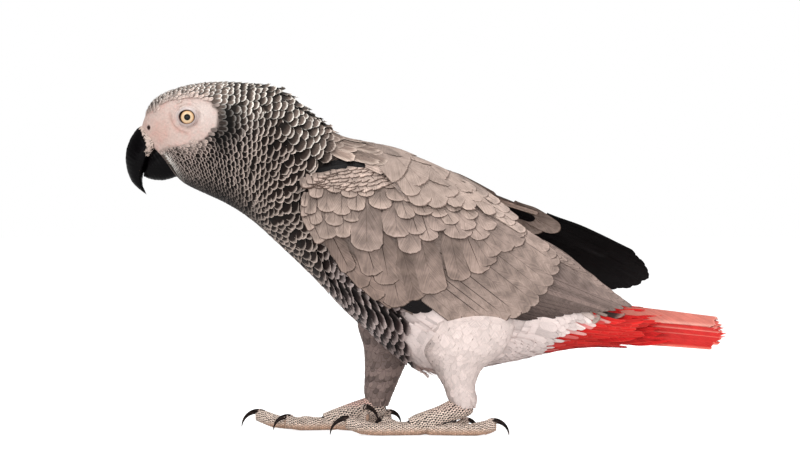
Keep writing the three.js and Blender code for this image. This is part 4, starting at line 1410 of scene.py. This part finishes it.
def horn_shell(name, rows, keel):
    """A closed shell through slices of the bill. A keel narrows the side that the slices start from."""
    at = np.linspace(0, len(rows) - 1, SHELL_RINGS)
    row = stations(rows, at)
    angle = circle(SHELL_SIDES)
    cos, sin = np.cos(angle), np.sin(angle)
    p, q = (np.stack([row[:, k], 0 * at, row[:, k + 1]], -1)[:, None] for k in (0, 2))
    centre = (p + q) / 2
    points = centre + (p - centre) * cos[:, None]
    points[..., 1] = row[:, 4, None] * sin * (1 - keel * cos)
    # Growth lines and dents.
    wave = 0.05 * np.sin(at * 21)[:, None] + 0.05 * np.sin(at * 9 + 1.7)[:, None] * np.cos(angle * 2)
    points = points + unit(points - centre) * wave[..., None] * smooth(0, 1.5, at)[:, None, None]
    return closed_object(name, *tube_mesh(points))


def make_bill():
    # Worn horn shows pale in a strip below the cere, and along the fold of the gape.
    upper = horn_shell("bill_upper", UPPER_BILL, 0.3)
    x, _, z = read_points(upper.data).T
    strip = 0.95 * smooth(3.6, 0.4, distance_to(WORN_STRIP, x, z))
    fold = 0.8 * smooth(1.8, 0.3, distance_to(GAPE_FOLD, x, z))
    add_attribute(upper, "flake", "FLOAT", np.maximum(strip, fold))
    dress(upper, horn_material("upper horn"), "horn", "upper_bill")
    lower = horn_shell("bill_lower", LOWER_BILL, 0.2)
    x, _, z = read_points(lower.data).T
    add_attribute(lower, "flake", "FLOAT", 0.24 * bell(x - CHIN_FLAKE, 6) * smooth(146.5, 142.5, z))
    dress(lower, horn_material("lower horn"), "horn", "lower_bill")


EYE_RINGS, EYE_SIDES = 39, 64
EYE_TURN = (-0.4, 0.2)  # the bird looks a little back and down
BEHIND = 9  # keeps the back of the ball clear of the iris


def make_eyes():
    shader = eye_material()
    polar, turn = np.linspace(0.0, math.pi, EYE_RINGS + 2)[1:-1], circle(EYE_SIDES)
    sin, cos = np.sin(polar)[:, None, None], np.cos(polar)[:, None, None]
    radius = (EYE_RADIUS - 0.05) * (1 + 0.03 * bell(polar, 0.5))[:, None, None]
    for side_name in SIDES:
        centre, gaze, ahead, up = eye_frame(side_name)
        ring = np.cos(turn)[:, None] * ahead + np.sin(turn)[:, None] * up
        made = closed_object("eyeball_" + side_name, *tube_mesh(centre + radius * (sin * ring + cos * gaze)))
        local = read_points(made.data) - centre
        x, y = local @ ahead + EYE_TURN[0], local @ up + EYE_TURN[1]
        distance = np.hypot(x, y) + (local @ gaze < 0) * BEHIND
        add_attribute(made, "gaze", "FLOAT_VECTOR", np.stack([distance, np.arctan2(y, x), 0 * x], -1))
        dress(made, shader, "eye", "eye_" + side_name)


# ------------------------------------------------------------------------------ legs and feet


LIMB_SAMPLES = 24


def limb_rows(surface, spacing, start, end, width):
    """Staggered roots over a limb, with a whole number of places around each row."""
    found = []
    s = start
    while s < end:
        along, around = rates(surface, np.full(LIMB_SAMPLES, s), np.linspace(0, 6, LIMB_SAMPLES))
        number = max(5, round(around.mean() * 2 * math.pi / width))
        turn = (np.arange(number) + 0.5 * (len(found) % 2)) / number * 2 * math.pi - math.pi
        found.append(np.stack([np.full(number, s), turn]))
        s += spacing / along.mean()
    return np.concatenate(found, 1)


# Display colours of centre and rim.
LEG_WHITE = ((232, 215, 209), (228, 210, 204))
LEG_GREY_SHADE = ((150, 131, 125), (130, 112, 106))
LEG_LOW = ((200, 172, 164), (214, 190, 182))
SCALE_SOLE = ((204, 166, 142), (160, 122, 100))
SCALE_TOP = ((242, 221, 206), (200, 172, 154))
SCALE_ANKLE = ((226, 180, 168), (206, 150, 140))
ANKLE_SHARE = {"left": 0.25, "right": 0.7}
LEG_DOWN = 3.4  # from one feather of a thigh to the next


def dress_thighs():
    shader = down_material("leg down", 0.12, 0.92)
    for side_name, side in SIDES.items():
        surface = thigh_surface(side_name)
        s, t = limb_rows(surface, LEG_DOWN, 0.03, 0.95, LEG_DOWN)
        count = len(s)
        s = s + rng.normal(0, 0.008, count)
        t = t + rng.normal(0, 0.02, count)
        # Grey is painted on the inner face of each thigh as shade, and more faintly on its front.
        inside = -side * np.sin(t)  # 1 on the inner face of the leg
        front = -np.cos(t)
        grey_shade_share = np.clip(smooth(0.0, 0.5, inside) + 0.4 * smooth(0.4, 1.0, front), 0, 1)
        points = surface.point(s, t)
        edges = scallops(-points[:, 2], points[:, 0], 9.0)
        band = 1 - (0.05 + 0.12 * grey_shade_share) * edges - 0.14 * grey_shade_share * (0.5 + 0.5 * np.sin(s * 40))
        low = smooth(0.78, 0.95, s) * 0.5
        centre, rim = (
            mix(mix(white, grey_shade, grey_shade_share) * band[:, None], pink, low)
            for white, grey_shade, pink in zip(LEG_WHITE, LEG_GREY_SHADE, LEG_LOW))
        size = 1 - 0.45 * smooth(0.4, 0.95, s)
        broad = smooth(0.45, 0.15, s)
        lay_down(
            "coat_thigh_" + side_name, surface, s, t, 13 * size * rng.normal(1, 0.08, count) + 3 * broad,
            5.4 * size + 1.4 * broad, rng.normal(0, 4, count), centre * rng.normal(1, 0.015, (count, 1)), rim,
            shader, "leg_plumage", tip=rng.uniform(0.12, 0.18, count))


def lay_scales(name, side_name, surface, spacing, start, end, width, shader):
    s, t = limb_rows(surface, spacing, start, end, width)
    s = s + rng.normal(0, 0.04, len(s)) * spacing / 30
    t = t + rng.normal(0, 0.02, len(s))
    z = surface.point(s, t)[:, 2]
    keep = z > 0.5
    s, t, z = s[keep], t[keep], z[keep]
    above = smooth(1.0, 5.0, z)
    ankle = smooth(12, 16, z) * ANKLE_SHARE[side_name]
    centre, rim = (
        mix(mix(sole, upper, above), pink, ankle)
        for sole, upper, pink in zip(SCALE_SOLE, SCALE_TOP, SCALE_ANKLE))
    feathers(
        name, surface, s, t, spacing * 1.22, width * 1.04, shader, "foot_skin", root=-0.16, tip=-0.16,
        grid=(4, 5), neck=0.62, tip_width=0.82, tip_reach=0.9, ragged=0.0, camber=0.16, thickness=0.15,
        dome=0.8, centre=centre * rng.normal(1, 0.05, (len(s), 1)), rim=rim)


def dress_feet():
    shader = scale_material()
    for side_name in SIDES:
        surface = tarsus_surface(side_name)
        lay_scales("scales_tarsus_" + side_name, side_name, surface, 1.3, 0.03, 0.99, 1.5, shader)
        for toe in TOES[side_name]:
            surface = toe_surface(side_name, toe)
            lay_scales(f"scales_toe_{side_name}_{toe[0]}", side_name, surface, 1.2, 0.02, 0.98, 1.4, shader)


CLAW_RINGS, CLAW_SIDES = 40, 24
CLAW_TAPER = (0.9, 1.4)  # how much thinner it ends, and how late
CLAW_FLATNESS = 0.72  # width for a height of 1


def make_claws():
    shader = horn_material("claw horn", (16, 10, 9), (70, 54, 49))
    turn = circle(CLAW_SIDES)[:, None]
    share = np.linspace(0, 1, CLAW_RINGS)
    sweep = np.radians(CLAW_SWEEP[0] + (CLAW_SWEEP[1] - CLAW_SWEEP[0]) * share)[:, None]
    half = CLAW_HALF * (1 - CLAW_TAPER[0] * share ** CLAW_TAPER[1])
    up, back = CLAW_ROOT
    for side_name, side in SIDES.items():
        for number, length, yaw, forward, _, _, reach, claw_lift in TOES[side_name]:
            heading = toe_heading(side, yaw, forward)
            sideways = np.array([-heading[1], heading[0], 0])
            root = np.array([*BALLS[side_name], up + claw_lift]) + heading * (length - back)
            out = np.sin(sweep) * heading + np.cos(sweep) * [0, 0, 1]
            spine = root + out * (reach - CLAW_HALF)
            ring = np.cos(turn) * out[:, None] + CLAW_FLATNESS * np.sin(turn) * sideways
            ring = half[:, None, None] * ring
            made = closed_object(f"claw_horn_{side_name}_{number}", *tube_mesh(spine[:, None] + ring))
            worn = smooth(9.0, 1.0, np.linalg.norm(read_points(made.data) - spine[0], axis=-1))
            add_attribute(made, "flake", "FLOAT", 0.55 * worn)
            dress(made, shader, "horn", f"claw_{side_name}_{number}")


# ------------------------------------------------------------------------------ wings

# Centre and rim of the wing's feathers. The darker rims are partly the vanes' own edges and partly painted
# shadow, where each feather's edge shades the one below it.
COVERT_GREY = ((172, 152, 141), (66, 51, 45))
GREAT_GREY = ((142, 122, 112), (48, 36, 31))
WING_GREY = ((166, 146, 136), (62, 48, 42))
CAPE_GREY = ((184, 164, 153), (88, 71, 62))
TIP_GREY = ((142, 124, 117), (88, 73, 67))
DARK_GREY = ((70, 58, 54), (38, 30, 27))
BLACK = ((13, 9, 10), (20, 15, 15))
# The kinds of large wing feathers: the grid of the vane, and the form of its end.
SHORT = dict(grid=(8, 12), tip_width=0.98, tip_reach=0.85, ragged=0.008)
LONG = dict(grid=(10, 20), tip_width=0.84, tip_reach=1.1, ragged=0.002)
POINTED = dict(grid=(10, 20), tip_width=0.5, tip_reach=4.0, ragged=0.002)

# The feathers of a folded wing from the deepest group to the topmost, and in a group from the lowest to
# the one on top: where the tip lies (a, b), slant below the wing's axis, length, width, and a bend or none.
WING_GROUPS = [
    dict(name="outer", layer=-3.0, rise=1.0, color=DARK_GREY, fade=TIP_GREY, kind=POINTED, feathers=[
        (141.6, -22.0, -2, 54, 11), (146, -20.6, -3, 58, 11), (150.5, -18.6, -4, 62, 11),
        (155, -16.4, -5, 66, 11),
        (159, -13.8, -5, 70, 11), (163.5, -11.2, -5, 74, 11), (168, -9.0, -4, 78, 11),
        (173, -7.0, -3, 82, 11),
        (178, -5.2, -1, 86, 11), (182.5, -3.6, 1, 90, 11), (186, -2.4, 3, 94, 11), (190.5, -0.8, 5, 96, 11),
        (194.5, 0.6, 6, 98, 10)]),
    dict(name="hand", layer=-1.9, rise=0.5, color=BLACK, kind=LONG, feathers=[
        (82.0, -36.6, 6, 42, 8), (87.5, -34.0, 14, 44, 11), (80, -33.0, 20, 34, 12)]),
    dict(name="inner", layer=-1.8, rise=0.8, color=TIP_GREY, fade=WING_GREY, kind=POINTED, feathers=[
        (196.0, 1.2, 7, 76, 10, -0.02), (191, 2.1, 8, 72, 10, -0.03), (187, 2.7, 9, 66, 10, -0.03),
        (183.5, 3.5, 10, 64, 10, -0.04), (180, 4.4, 11, 60, 9.5, -0.04), (176, 5.4, 12, 56, 9.5, -0.05),
        (172, 6.5, 12, 54, 9.5, -0.06), (168, 7.8, 11, 52, 9.5, -0.07), (164, 9.3, 10, 50, 9.5, -0.07),
        (160, 10.8, 9, 46, 9.5, -0.07), (156, 12.2, 8, 42, 9.5, -0.06), (152, 13.6, 6, 38, 9, -0.06),
        (148, 14.6, 5, 34, 9, -0.05)]),
    dict(name="second", layer=-0.9, rise=1.2, color=WING_GREY, kind=LONG, feathers=[
        (104, -34.4, 22, 46, 12), (113.8, -33.0, 20, 56, 13), (119, -30.0, 19, 58, 12),
        (124, -27.8, 19, 60, 12),
        (129.3, -25.2, 19, 62, 12), (134.6, -22.0, 20, 64, 12), (138.6, -19.0, 21, 64, 12),
        (142, -15.6, 22, 66, 12),
        (144.6, -11.2, 24, 66, 13), (146.4, -6.8, 24, 64, 13), (147.6, -1.6, 24, 62, 13),
        (146.8, 3.8, 23, 58, 13),
        (144, 8.2, 21, 54, 12), (139, 11.6, 19, 50, 12)]),
    dict(name="great", layer=-0.2, rise=1.0, color=GREAT_GREY, fade=WING_GREY, feathers=[
        (68, -38.4, 22, 40, 9), (60, -36.4, 26, 38, 10), (50, -32.8, 32, 34, 10), (38.6, -28.3, 44, 26, 10),
        (78, -32, 56, 34, 15), (70.6, -38.0, 58, 36, 18), (61.1, -28.9, 60, 31, 16),
        (52.3, -25.9, 54, 27, 15),
        (86.0, -27.2, 60, 36, 17), (97.1, -18.3, 63, 33, 14), (107.1, -10.4, 54, 29, 13),
        (110.6, -4.4, 44, 28, 12),
        (112.0, 1.4, 38, 28, 13), (119, 7.0, 28, 30, 12), (124, 12.0, 22, 34, 12),
        (124, 17.0, 18, 36, 11)]),
    dict(name="middle", layer=0.5, rise=0.8, color=WING_GREY, feathers=[
        (102.8, 7.9, 38, 23, 13), (106, 14.5, 30, 24, 11), (74.5, -2.0, 60, 20, 12),
        (78.3, 3.6, 55, 21, 12),
        (66.4, -10.8, 70, 21, 13.5), (90.6, -0.2, 55, 31, 18), (67.2, 0.0, 58, 17, 11.5),
        (56.8, -6.5, 70, 23, 16),
        (43.5, -20.1, 73, 36, 18.5), (94.0, 10.5, 42, 20, 12)]),
    dict(name="median", layer=0.9, rise=0.8, color=COVERT_GREY, feathers=[
        (12.0, -13.6, 46, 13, 5.5), (19.3, -18.4, 46, 16, 8), (28.6, -13.0, 74, 17, 9),
        (22.0, -15.6, 62, 17, 12),
        (13.8, -10.1, 56, 14, 8), (21.9, -8.6, 77, 15, 11), (30.0, -4.0, 76, 14, 10),
        (84, 10.4, 48, 17, 11),
        (76.5, 12.0, 50, 16, 11), (94.3, 18.0, 32, 17, 10), (84, 18.4, 40, 15, 10),
        (68, 10.2, 54, 16, 12.5),
        (59.0, 5.6, 60, 16, 11), (43.0, 5.6, 74, 16, 13.5), (30.7, 1.8, 74, 15, 10.5),
        (23.7, -2.7, 76, 16, 11),
        (15.7, -3.4, 75, 15, 11), (8.0, -6.5, 70, 12, 8), (5.4, -8.4, 66, 10, 5)]),
    dict(name="lower", layer=1.4, rise=0.5, color=COVERT_GREY, feathers=[
        (3.2, -3.6, 78, 9, 5), (25.0, 7.6, 72, 12, 10), (58.6, 14.6, 58, 14, 11), (49.5, 12.0, 74, 14, 11),
        (33.9, 10.6, 64, 13, 10), (44.0, 17.3, 68, 14, 10), (76.0, 20.2, 44, 16, 12),
        (70.1, 20.0, 47, 18, 15),
        (83, 24.8, 34, 17, 11), (62, 23.6, 34, 15, 11), (54.8, 22.3, 32, 15, 10), (15.6, 7.4, 80, 12, 9.5),
        (7.6, 2.2, 77, 11, 9)]),
]
FAR_OUTER = dict(name="outer", layer=-3.6, rise=1.6, color=BLACK, kind=LONG, feathers=[
    (176, 8.6, 13, 68, 8), (183, -4.4, 16, 58, 12), (187, -4.2, 16, 60, 12), (190.5, -3.6, 17, 62, 12),
    (194.2, -2.6, 17, 64, 12), (197.8, -1.0, 17, 66, 12), (201.0, 1.6, 16, 68, 12),
    (199.5, 4.4, 15.5, 66, 12),
    (197.0, 7.0, 15, 64, 12), (193.8, 9.6, 14, 60, 11.5), (190.0, 12.0, 13.5, 58, 11)])
# The feathers of the far wing that show over the back lie on its inner side.
FAR_INNER = dict(name="inner", layer=-5.6, rise=-1.2, color=CAPE_GREY, kind=LONG, feathers=[
    (126, 12, 22, 30, 12), (136, 12.5, 24, 30, 13), (145.4, 15.4, 21, 34, 15.5)])
# One black feather lies behind the strip, so that the far wing shows black between the strip and the near
# wing's edge.
FAR_BLACK_GAP = dict(name="black_gap", layer=-7.2, rise=-0.2, color=BLACK, kind=LONG, feathers=[(129, 20.4, 8, 44, 8)])
FAR_STRIP = dict(name="strip", layer=-7.8, rise=-0.2, color=CAPE_GREY, kind=LONG, feathers=[
    (130, 24.6, 6, 50, 4.8)])
FAR_SECOND = dict(name="second", layer=-0.9, rise=1.4, color=WING_GREY, kind=LONG, feathers=[
    (113.8, -33.0, 20, 58, 16), (124, -27.6, 19, 62, 14), (135.4, -21.4, 20, 66, 15),
    (141.7, -12.6, 23, 66, 15),
    (146.2, -3.3, 24, 64, 16), (147, 5.4, 22, 60, 16), (144.2, 12.3, 18, 54, 15), (137, 18.0, 13, 48, 13),
    (128, 21.6, 9, 44, 12)])
# The small feathers of the shoulder lie in rows, from near the first line down to the second.
SHOULDER_TOP = [(2.2, 7), (6, 13.2), (12, 18.4), (19.6, 22.8), (28, 27), (38, 29), (48, 28)]
SHOULDER_END = [(1.2, 6.4), (10, 9.0), (19, 11.6), (28, 13.2), (37, 16.2), (44, 21.5), (52, 25.5)]
SHOULDER_ROWS = 6
# Their dark rims are partly the vanes' own edges and partly painted shadow, as on the wing's larger feathers.
SHOULDER_COLORS = ((178, 158, 147), (84, 67, 59))
SHOULDER_SPACING = 4.4
# The long feathers along the upper edge of the folded wing.
CAPE_GROUPS = [
    dict(name="cape_low", layer=1.5, rise=0.7, color=CAPE_GREY, kind=LONG, feathers=[
        (123, 16.6, 23, 38, 9), (116, 18.4, 25, 36, 9.5), (109, 20.4, 26, 34, 10), (102, 22.4, 26, 32, 10),
        (95, 24.4, 26, 30, 10), (88, 26.0, 25, 26, 10)]),
    dict(name="cape", layer=1.9, rise=0.6, color=CAPE_GREY, kind=LONG, feathers=[
        (117, 20.2, 27, 36, 8), (111, 23.0, 27, 34, 9), (104.5, 26.6, 26, 31, 9.5), (97, 29.2, 24, 28, 10),
        (90, 31.0, 21, 26, 10)]),
]
# Black feathers lie in the fold between the back and the shoulder: painted shadow in the gap there.
FOLD_SHADOW = dict(name="fold", layer=2.3, rise=0.1, color=BLACK, feathers=[
    (9.6, 24.4, -36, 12, 5.5), (18.4, 28.8, -31, 14, 7), (27.4, 31.6, -24, 14, 7)])
FAR_CAPE = dict(drop=2.0, flatter=6.0)  # how the right wing's upper edge differs


def lay_group(name, surface, group, shader, slot_name, *nodes, drop=0.0, flatter=0.0):
    """A group of large feathers, each named by the place of its tip."""
    table = [(*row, 0)[:6] for row in group["feathers"]]
    count = len(table)
    a, b, slant, length, width, bend = np.array(table, float).T
    b, slant = b - drop, slant - flatter
    turn = np.radians(slant)
    bend = bend + rng.normal(0, 0.008, count)
    step = np.linspace(0, group["rise"], count)
    fade = np.linspace(0, 1, count)
    tones = [mix(first, last, fade) for first, last in zip(group["color"], group.get("fade", group["color"]))]
    root_a = a - length * (np.cos(turn) + bend * np.sin(turn))
    root_b = b + length * (np.sin(turn) - bend * np.cos(turn))
    feathers(
        name, surface, root_a, root_b, length, width, shader, slot_name, *nodes, slant=-slant,
        root=group["layer"] - 0.7 + step * 0.5, tip=group["layer"] + step, neck=0.6, widest=0.4, camber=0.05,
        thickness=0.14, rim_width=0.55, roll=-0.012, barb_slant=2.0, curve=bend, **group.get("kind", SHORT),
        **varied(tones, rng.normal(1, 0.035, (count, 1))))


def dress_shoulder(side_name, shader):
    top, end = np.array(SHOULDER_TOP), np.array(SHOULDER_END)
    for row in range(SHOULDER_ROWS):
        share = (row + 0.25) / (SHOULDER_ROWS - 0.75)
        line = top + (end - top) * share
        run = np.concatenate([[0], np.cumsum(np.hypot(*np.diff(line, axis=0).T))])
        count = round(run[-1] / SHOULDER_SPACING)
        along = (np.arange(count) + 0.5 * (row % 2)) / count + rng.normal(0, 0.012, count)
        a, b = through(run, line, along * run[-1]).T
        front = smooth(0.7, 0.1, along)
        slant = 38 + 24 * front + rng.normal(0, 2.5, count)
        length = (7.5 + 6 * (1 - front)) * rng.normal(1, 0.05, count) * (0.62 if row == 0 else 1)
        width = (6.8 + 3.2 * (1 - front)) * rng.normal(1, 0.05, count)
        turn = np.radians(slant)
        height = 2.15 - 0.1 * row
        feathers(
            f"shoulder_feathers_{side_name}_{row}", WINGS[side_name], a - length * np.cos(turn),
            b + length * np.sin(turn), length, width, shader, "wing_plumage", slant=-slant, root=height - 0.8,
            tip=height + 0.1, grid=(6, 7), neck=0.8, tip_width=1.0, tip_reach=0.6, ragged=0.016, camber=0.04,
            rim_width=0.62, roll=-0.03, **varied(SHOULDER_COLORS, rng.normal(1, 0.05, (count, 1))))


def dress_wing(side_name, shader, dark):
    surface = WINGS[side_name]
    far = side_name == "right"
    groups = list(WING_GROUPS)
    if far:
        groups[0], groups[2], groups[3] = FAR_OUTER, FAR_INNER, FAR_SECOND
        groups += [FAR_BLACK_GAP, FAR_STRIP]
    for group in groups:
        name = f"{group['name']}_feathers_{side_name}"
        nodes = ["primaries_" + side_name] if group["name"] == "outer" else []
        chosen = dark if group["color"] in (DARK_GREY, BLACK) else shader
        slot_name = "flight_feathers" if "kind" in group else "wing_plumage"
        lay_group(name, surface, group, chosen, slot_name, *nodes)
    dress_shoulder(side_name, shader)
    for group in CAPE_GROUPS:
        name = f"{group['name']}_{side_name}"
        lay_group(name, surface, group, shader, "wing_plumage", **FAR_CAPE if far else {})
    lay_group("fold_shadow_" + side_name, surface, FOLD_SHADOW, dark, "wing_plumage")


def dress_wings():
    shader = feather_material(
        "wing feathers", (60, 46, 41), 0.9, streak=0.26, roughness=0.6, shaft_width=0.32, root_shade=0.66,
        side_rim=1.35, rim_from=0.4, band=0.16, frayed=1.1, mottle=0.2, barb_pitch=1.7, shaft_end=0.93,
        rim_soft=(0.5, 2.0))
    dark = feather_material(
        "flight feathers", (16, 12, 13), 0.7, streak=0.3, roughness=0.45, shaft_width=0.3, root_shade=0.85)
    for side_name in SIDES:
        dress_wing(side_name, shader, dark)


# ------------------------------------------------------------------------------ tail

# One half of the tail from its middle feather outward; each next one lies lower and under the last.
TAIL_PLACES = [0.06, 0.18, 0.3, 0.42, 0.52, 0.6]
TAIL_WIDTHS = [11, 8.6, 8, 8, 9, 10]
TAIL_SHORTER = [[2.6, 1.0, 0.3, 0.0, 1.2, 4.6], [2.0, 1.4, 0.0, 0.3, 1.4, 4.0]]  # left, right
TAIL_ROOT, TAIL_END = 88.0, 167.2
TAIL_LAYER = 0.55
# Centre and rim of the tail feathers, each from the middle one outward: the middle feathers on top are
# painted salmon as highlight, the lower ones keep the deep red, and the pale rims are painted highlights
# along the edges.
TAIL_PAINTED_LIGHT = (((210, 122, 108), (204, 46, 43)), ((230, 158, 144), (236, 122, 106)))  # centre, rim
COVERT_ROWS, COVERTS_IN_ROW = 5, 13


def dress_tail():
    shader = feather_material(
        "tail feathers", (150, 24, 26), 0.5, streak=0.16, roughness=0.6, shaft_width=0.25, root_shade=0.75,
        side_rim=1.0, barb_pitch=2.2, rim_soft=(0.3, 1.6))
    half = len(TAIL_PLACES)
    t = np.array([*np.negative(TAIL_PLACES), *TAIL_PLACES])
    side = np.sign(t)
    depth = np.array([*np.arange(half), *(np.arange(half) + 0.5)]) * TAIL_LAYER
    length = TAIL_END - np.ravel(TAIL_SHORTER) - TAIL_ROOT
    outward = np.tile(np.linspace(0, 1, half), 2)
    feathers(
        "tail_feathers", TAIL, np.full(2 * half, TAIL_ROOT), t, length, np.tile(TAIL_WIDTHS, 2), shader,
        "tail_plumage", "tail", slant=side * 2.6 * outward, root=-1.2 - depth, tip=0.6 - depth,
        roll=side * 0.1, grid=(12, 28), neck=0.5, widest=0.4, tip_width=0.86, tip_reach=0.8, ragged=0.014,
        camber=0.14, thickness=0.25, centre=mix(*TAIL_PAINTED_LIGHT[0], smooth(0, 0.5, outward)),
        rim=mix(*TAIL_PAINTED_LIGHT[1], outward), rim_width=1.0, barb_slant=3.0, curve=side * 0.01)
    # Shorter feathers over its root.
    soft = feather_material(
        "tail coverts", (150, 20, 22), 0.2, streak=0.2, roughness=0.75, root_shade=0.6, side_rim=1.2)
    row, column = np.divmod(np.arange(COVERT_ROWS * COVERTS_IN_ROW), COVERTS_IN_ROW)
    count = len(row)
    t = (column + 0.5 * (row % 2) + rng.normal(0, 0.12, count)) / (COVERTS_IN_ROW - 0.5) * 1.76 - 0.88
    x = 86 + row * 4.4 + rng.normal(0, 2.0, count)
    feathers(
        "tail_coverts", TAIL, x, t, 30 - row * 1.5 + 12 * t * t + rng.normal(0, 3, count), 5.4, soft,
        "tail_plumage", slant=rng.normal(0, 0.8, count), root=-1.3, tip=0.4 - row * 0.03, grid=(6, 16),
        roll=0.04 * np.sign(t), ragged=0.012, tip_width=0.25, tip_reach=3.5, camber=0.1, rim_width=0.5,
        centre=np.array([198, 32, 32]) * rng.normal(1, 0.07, (count, 1)), rim=(222, 62, 54))


# ------------------------------------------------------------------------------ stage

CAMERA_AIM = (-13.44, 0, 110.0)
CAMERA_DISTANCE = 1.8
CAMERA_RISE = 1.0
FRAME_WIDTH = 0.448  # metres across the picture at the bird's middle plane
SENSOR = 36.0
FLOOR_REACH = 6.0
WORLD_LIGHT = 0.42  # of the strength that the camera sees
LAMPS = [  # name, place, size, power
    ("key", (-0.9, -1.5, 1.5), 1.1, 16),
    ("fill", (1.1, -1.7, 0.6), 1.3, 10),
    ("low", (-0.1, -1.9, 0.16), 0.9, 13),
    ("top", (0.2, 0.3, 1.8), 1.3, 20),
]


def make_world():
    """White to the camera, and dimmer as light."""
    world = bpy.data.worlds.new("studio")
    n = Nodes(world, "Background")
    rays = n.add("ShaderNodeLightPath", {}, "Is Camera Ray", "Is Transmission Ray")
    n.feed(n.shader["Color"], (1, 1, 1, 1))
    n.feed(n.shader["Strength"], n.ramp(n.math("MAXIMUM", *rays), 0.0, 1.0, WORLD_LIGHT, 1.0))
    return world


def make_stage():
    scene = bpy.context.scene
    scene.view_settings.view_transform = "Standard"
    scene.world = make_world()
    aim = place(CAMERA_AIM)
    rise = math.radians(CAMERA_RISE)
    camera = link_object("camera", bpy.data.cameras.new("camera"))
    camera.data.sensor_width = SENSOR
    camera.data.lens = SENSOR * CAMERA_DISTANCE / FRAME_WIDTH
    camera.location = aim + CAMERA_DISTANCE * np.array([0, -math.cos(rise), math.sin(rise)])
    camera.rotation_euler = (math.pi / 2 - rise, 0, 0)
    scene.camera = camera

    floor = link_object("floor", bpy.data.meshes.new("floor"))
    corners = [(x * FLOOR_REACH, y * FLOOR_REACH, 0) for x, y in ((-1, -1), (1, -1), (1, 1), (-1, 1))]
    floor.data.from_pydata(corners, [], [(0, 1, 2, 3)])
    floor.data.materials.append(floor_material())

    for name, where, size, power in LAMPS:
        lamp = bpy.data.lights.new(name, "AREA")
        lamp.size = size
        lamp.energy = power
        made = link_object(name, lamp)
        made.location = where
        away = np.array(where) - aim
        tilt = math.acos(away[2] / np.linalg.norm(away))
        made.rotation_euler = (tilt, 0, math.atan2(away[1], away[0]) + math.pi / 2)


make_stage()
make_skin()
make_bill()
make_eyes()
make_claws()
dress_body()
dress_mantle()
dress_vent()
dress_thighs()
dress_feet()
dress_wings()
dress_tail()
